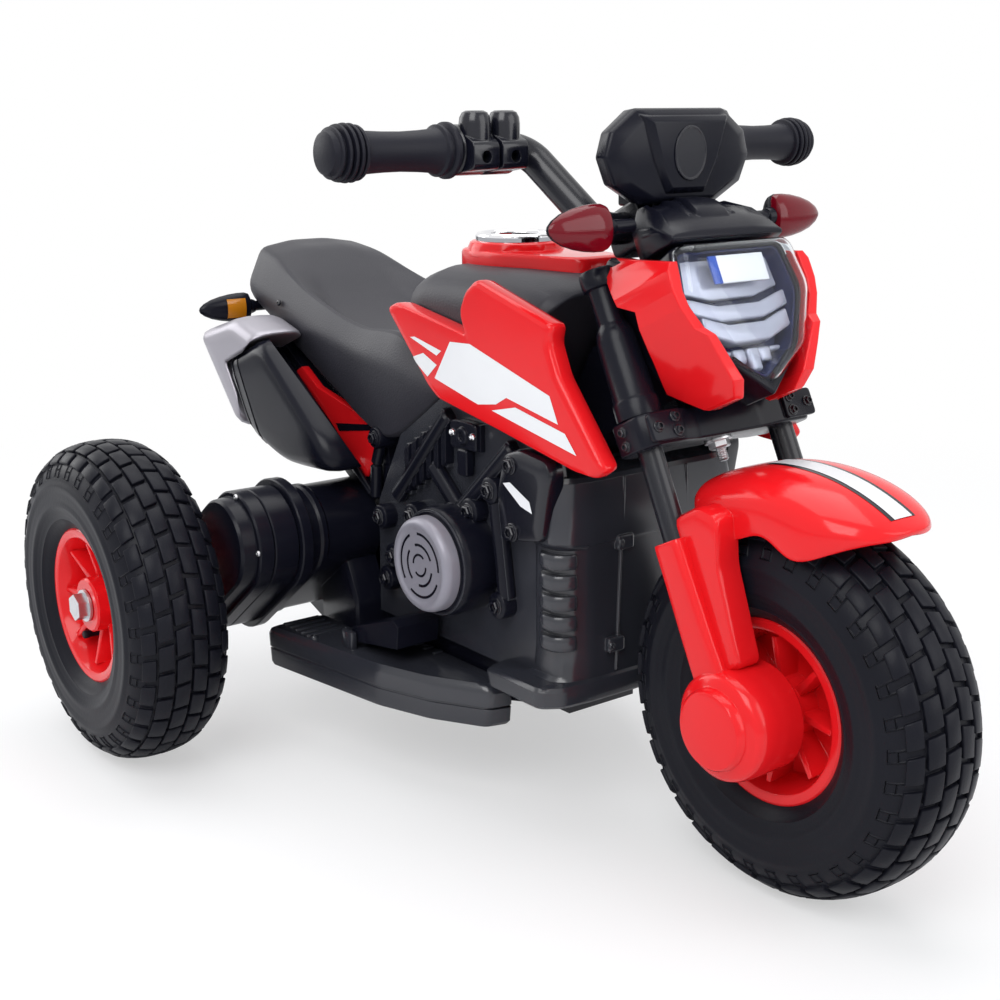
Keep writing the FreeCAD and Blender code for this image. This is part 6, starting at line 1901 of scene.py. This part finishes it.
@dataclass
class Hull(Group):
    """The lower hull: tray, gear housing, fairings, rear hatch, and the dark inner walls under the seat."""

    profile: Outline = (
        (-300, 95), (-212, 63.4), (-40, 63.4), (97.6, 97), (97.6, 111.6), (-184, 111.6), (-200, 171.6),
        (-300, 171.6))
    half_width: float = 71.8
    fairing: Outline = (
        (-199.6, 63.6), (-199.6, 142), (-185, 154), (-158, 160), (-138.8, 120), (-138.8, 63.6))
    fairing_layers: Outline = ((71, 1), (93, 1), (97.6, 0.95), (99.6, 0.86))
    wall: Outline = (
        (-338, 336), (-332, 312), (-262, 264), (-172, 207), (-200, 168), (-196, 112), (-90, 112),
        (-90, 336))
    # distance from the middle plane and radius of the round ends
    neck: Outline = (
        (71, 37), (120, 37), (122, 38.6), (126, 38.6), (128, 37), (138.6, 37), (139.4, 45.4),
        (140.4, 46.6), (148.6, 46.8), (149.7, 45.8))
    case: Outline = ((150.2, 40.8), (151.2, 41.8), (170.8, 41.8), (171.8, 40.8))
    lid: Outline = (
        (172.2, 40.8), (173, 41.9), (184.4, 41.9), (185.8, 40.6), (186, 37.6), (196.8, 36.8),
        (199.2, 35), (199.8, 32))
    left_neck: Outline = (
        (0, 70), (38, 70), (36, 78), (34, 84), (34, 198), (32.6, 203), (29, 204.8), (0, 204.8))
    hatch_layers: Outline = ((-297, 1), (-301.4, 1), (-302.6, 0.97), (-302.6, 0.8))
    hatch: Corners = ((-52, 110), (52, 164))
    hatch_middle: Pair = (0, 137)
    hatch_screws: Outline = ((-43, 118), (-43, 156), (43, 118), (43, 156))
    hatch_screw_x: float = -302.4
    fairing_middle: Pair = (-168, 108)
    wall_depth: Pair = (53.0, 56.0)

    def housing(self, rows: Outline, steps: int = 20) -> Piece:
        """A round-ended housing between rear axle and motor.

        Args:
            rows: Distance from the middle plane and radius of the ends.
            steps: Steps of each round end.

        Returns:
            The housing.
        """
        across = math.atan2(MOTOR[2] - REAR_AXLE[2], MOTOR[0] - REAR_AXLE[0]) - math.pi / 2
        turns = [(MOTOR, across + math.pi * n / steps) for n in range(steps + 1)]
        turns += [(REAR_AXLE, across + math.pi + math.pi * n / steps) for n in range(steps + 1)]
        return solid([[(x + radius * math.cos(turn), -away, z + radius * math.sin(turn))
                       for (x, _, z), turn in turns]
                      for away, radius in rows], angle=32.0)

    def dress(self) -> None:
        """Builds the hull."""
        tray = slab(rounded(self.profile, 5.0, 3), -self.half_width, self.half_width, beside(-1))
        fairing = rounded(self.fairing, 4.0, 3)
        hatch = layered(rounded(box(*self.hatch), 8.0), self.hatch_middle, self.hatch_layers, onward)
        pieces = [solid(tray, 3.0, 34.0), self.housing(self.neck),
                  knob(self.left_neck, REAR_AXLE[0], REAR_AXLE[2], 1, 64), solid(hatch)]
        pieces += [solid(layered(fairing, self.fairing_middle, self.fairing_layers, beside(side)), angle=32.0)
                   for side in SIDES]
        pieces += [screw((self.hatch_screw_x, y, z), (-1.0, 0.0, 0.0), 3.0) for y, z in self.hatch_screws]
        self.seat("hull", pieces, BLACK, "chassis_tray")
        self.seat("gear_case", [self.housing(self.case)], BLACK, "gearbox_case")
        self.seat("gear_lid", [self.housing(self.lid)], BLACK, "gearbox_cover")
        wall = rounded(self.wall, 6.0, 3)
        walls = [solid(slab(wall, *self.wall_depth, beside(side)), 0.8) for side in SIDES]
        self.seat("inner_walls", walls, BLACK)


@dataclass
class Console(Group):
    """The red console base with its raised ring boss."""

    plan: Outline = ((-92.5, 16), (-85, 30), (-60, 38), (-30, 38), (20, 30), (50, 22))
    layers: Outline = ((396, 1), (405.5, 1), (407.6, 0.985), (408.6, 0.955), (408.8, 0.9))
    boss: Outline = ((25.6, 404), (38, 404), (37, 410), (35.4, 413.6), (33.4, 414.8), (25.6, 414.8))
    boss_x: float = -52.5
    middle: Pair = (-27.5, 0)

    def dress(self) -> None:
        """Builds the base."""
        path = rounded(both_sides(self.plan), 9.0)
        deck = solid(layered(path, self.middle, self.layers, raised(1)), angle=34.0)
        boss = turned(self.boss, (self.boss_x, 0.0, 0.0), UP, 64)
        self.seat("console_deck", [deck, boss], RED, "console_base")


@dataclass
class Clamps(Group):
    """Bar clamps: a collar, two towers and drilled ears on each side."""

    body: str = "steering"
    centre: Pair = (34.9, 485.1)
    lugs: Outline = ((76.6, 98.4), (101.0, 122.4))
    collar: Outline = (
        (11.3, 76.2), (15.6, 76.2), (16.8, 77.4), (16.8, 98), (16, 99.2), (16, 100.4), (16.8, 101.4),
        (16.8, 122.6), (15.6, 123.8), (11.3, 123.8))
    # how far a tower's radius is drawn in, and height
    tower: Outline = ((0, 0), (0, 17), (0.5, 21), (2.2, 24.2), (4.6, 25.4))
    ear: Outline = ((3, -15.3), (25.4, -12), (25.4, 5), (3, 15.3))
    drill_height: float = -4.25
    # where the drilled hole starts and ends ahead of the bar
    drill: Pair = (13.5, 40.0)
    drill_radius: float = 4.0
    ear_gap: float = 0.2
    tower_x: float = 11.9

    def drilled(self, side: int, low: float, high: float) -> Piece:
        """One ear with its drilled hole.

        Args:
            side: Minus one for the right, one for the left.
            low: Where it starts across the bike.
            high: Where it ends.

        Returns:
            The ear.
        """
        x, z = self.centre
        middle = side * (low + high) / 2
        outline = rounded([(x + a, z + b) for a, b in self.ear], 4.0)
        ear = solid(slab(outline, low + self.ear_gap, high - self.ear_gap, beside(side)), 1.4)
        level = z + self.drill_height
        start, end = ((x + ahead, middle, level) for ahead in self.drill)
        drill = rod(start, end, self.drill_radius, 28)
        modify(ear, "BOOLEAN", object=drill, operation="DIFFERENCE", solver="EXACT")
        bpy.data.objects.remove(drill, do_unlink=True)
        return smooth(ear, 30.0)

    def dress(self) -> None:
        """Builds both pairs of clamps."""
        x, z = self.centre
        top = self.tower[-1][1]
        pieces = []
        for side in SIDES:
            pieces.append(knob(self.collar, x, z, side, 48))
            for low, high in self.lugs:
                wide = (high - low) / 2
                tower = [(0, 0), *((wide - less, height) for less, height in self.tower), (0, top)]
                pieces += [turned(tower, (x + self.tower_x, side * (low + high) / 2, z), UP),
                           self.drilled(side, low, high)]
        self.seat("clamps", pieces, BLACK_GLOSS, "bar_clamps")


@dataclass
class Studio:
    """Floor, soft light and the camera at the photograph's angle, in metres."""

    eye: Point = (0.8738, -0.7238, 0.5064)
    ahead: Point = (-0.771023, 0.587585, -0.245494)
    right: Point = (0.607928, 0.793940, -0.009042)
    above: Point = (-0.189595, 0.156214, 0.969356)
    lens: float = 54.49
    sensor: float = 36.0
    # name, place, aim, side of the box and watts
    lamps: Sequence[tuple[str, Point, Point, float, float]] = (
        ("key", (1.1, -1.7, 2.1), (0.0, 0.0, 0.2), 1.6, 42.0),
        ("fill", (2.2, 0.9, 1.3), (0.05, 0.0, 0.25), 1.8, 24.0),
        ("top", (-0.3, 0.2, 2.4), (0.0, 0.0, 0.2), 2.0, 30.0),
        ("back", (-2.0, -0.9, 1.2), (-0.1, 0.0, 0.25), 1.4, 16.0))

    def floor(self) -> None:
        """Lays a plain pale floor under the bike that turns white further out."""
        pick()
        bpy.ops.mesh.primitive_plane_add(size=40.0)
        sheet = bpy.context.object
        sheet.name = "floor"
        material = bpy.data.materials.new("floor_pale")
        graph = Graph(material)
        shader = graph.nodes["Principled BSDF"]
        graph.feed(shader, {"Base Color": (0.86, 0.86, 0.87, 1.0), "Roughness": 0.7})
        far = graph.add("VectorMath", {0: graph.add("TexCoord", {}, "Object")}, "Value", operation="LENGTH")
        reach = {"Value": far, "From Min": 0.3, "From Max": 1.5, "To Min": 0.5, "To Max": 1.0}
        fade = graph.add("MapRange", reach, "Result", interpolation_type="SMOOTHSTEP")
        camera = graph.add("LightPath", {}, "Is Camera Ray")
        seen = graph.add("Math", {0: fade, 1: camera}, "Value", operation="MULTIPLY")
        white = graph.add("Emission", {"Color": (1.0, 1.0, 1.0, 1.0), "Strength": 1.0}, "Emission")
        mix = graph.add("MixShader", {"Fac": seen, 1: shader.outputs["BSDF"], 2: white}, "Shader")
        graph.feed(graph.nodes["Material Output"], {"Surface": mix})
        sheet.data.materials.append(material)

    def sky(self) -> None:
        """Sets an even pale surround: white where it is seen, softer where it lights."""
        world = bpy.data.worlds.new("surround")
        bpy.context.scene.world = world
        graph = Graph(world)
        soft = graph.add("Background", {"Color": (0.92, 0.95, 1.0, 1.0), "Strength": 0.42}, "Background")
        seen = graph.add("Background", {"Color": (1.0, 1.0, 1.0, 1.0), "Strength": 1.0}, "Background")
        camera = graph.add("LightPath", {}, "Is Camera Ray")
        rays = camera.node.outputs
        either = graph.add("Math", {0: camera, 1: rays["Is Transmission Ray"]}, "Value", operation="MAXIMUM")
        shiny = graph.add("Math", {0: either, 1: rays["Is Glossy Ray"]}, "Value", operation="MAXIMUM")
        mix = graph.add("MixShader", {"Fac": shiny, 1: soft, 2: seen}, "Shader")
        graph.feed(graph.nodes["World Output"], {"Surface": mix})

    def hang(self, data: bpy.types.Light | bpy.types.Camera, place: Matrix) -> Piece:
        """Puts a lamp or camera into the scene.

        Args:
            data: What is put there.
            place: Where it stands and looks.

        Returns:
            Its object.
        """
        holder = bpy.data.objects.new(data.name, data)
        bpy.context.scene.collection.objects.link(holder)
        holder.matrix_world = place
        return holder

    def set_up(self) -> None:
        """Builds floor, surround, lamps and camera."""
        self.floor()
        self.sky()
        for name, at, aim, size, power in self.lamps:
            light = bpy.data.lights.new(name, "AREA")
            light.shape, light.size, light.energy = "SQUARE", size, power
            turn = (Vector(aim) - Vector(at)).to_track_quat("-Z", "Y").to_matrix().to_4x4()
            self.hang(light, Matrix.Translation(at) @ turn)
        camera = bpy.data.cameras.new("camera")
        camera.sensor_width, camera.lens, camera.clip_start = self.sensor, self.lens, 0.01
        turn = Matrix((self.right, self.above, tuple(-c for c in self.ahead))).transposed()
        bpy.context.scene.camera = self.hang(camera, Matrix.Translation(self.eye) @ turn.to_4x4())
        bpy.context.scene.view_settings.view_transform = "Standard"


def dress_nodes(frame: dict, paint: Paint) -> None:
    """Gives every carried-over CAD node the finish of its slot.

    Args:
        paint: The materials.
    """
    for entry in frame["record"]["subparts"]:
        node = frame["nodes"][entry["node"]]
        finish = NODE_FINISH.get(entry["node"], SLOT_FINISH[entry["material_slot"]])
        for slot in node.material_slots:
            slot.material = paint.of(finish)


def main() -> None:
    """Loads the frame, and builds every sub-assembly and the studio."""
    logging.basicConfig(level=logging.INFO, format="%(name)s: %(message)s")
    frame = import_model()
    paint = Paint()
    dress_nodes(frame, paint)
    for group in (Wheels, TankSides, Saddle, Fender, Headlamp, Cockpit, Fork, EngineSides, FrontShell,
                  Speakers, Exhaust, TailSides, Boards, Hull, Console, Clamps):
        group(paint).dress()
    Studio().set_up()
    bpy.context.view_layer.update()


if __name__ == "__main__":
    main()
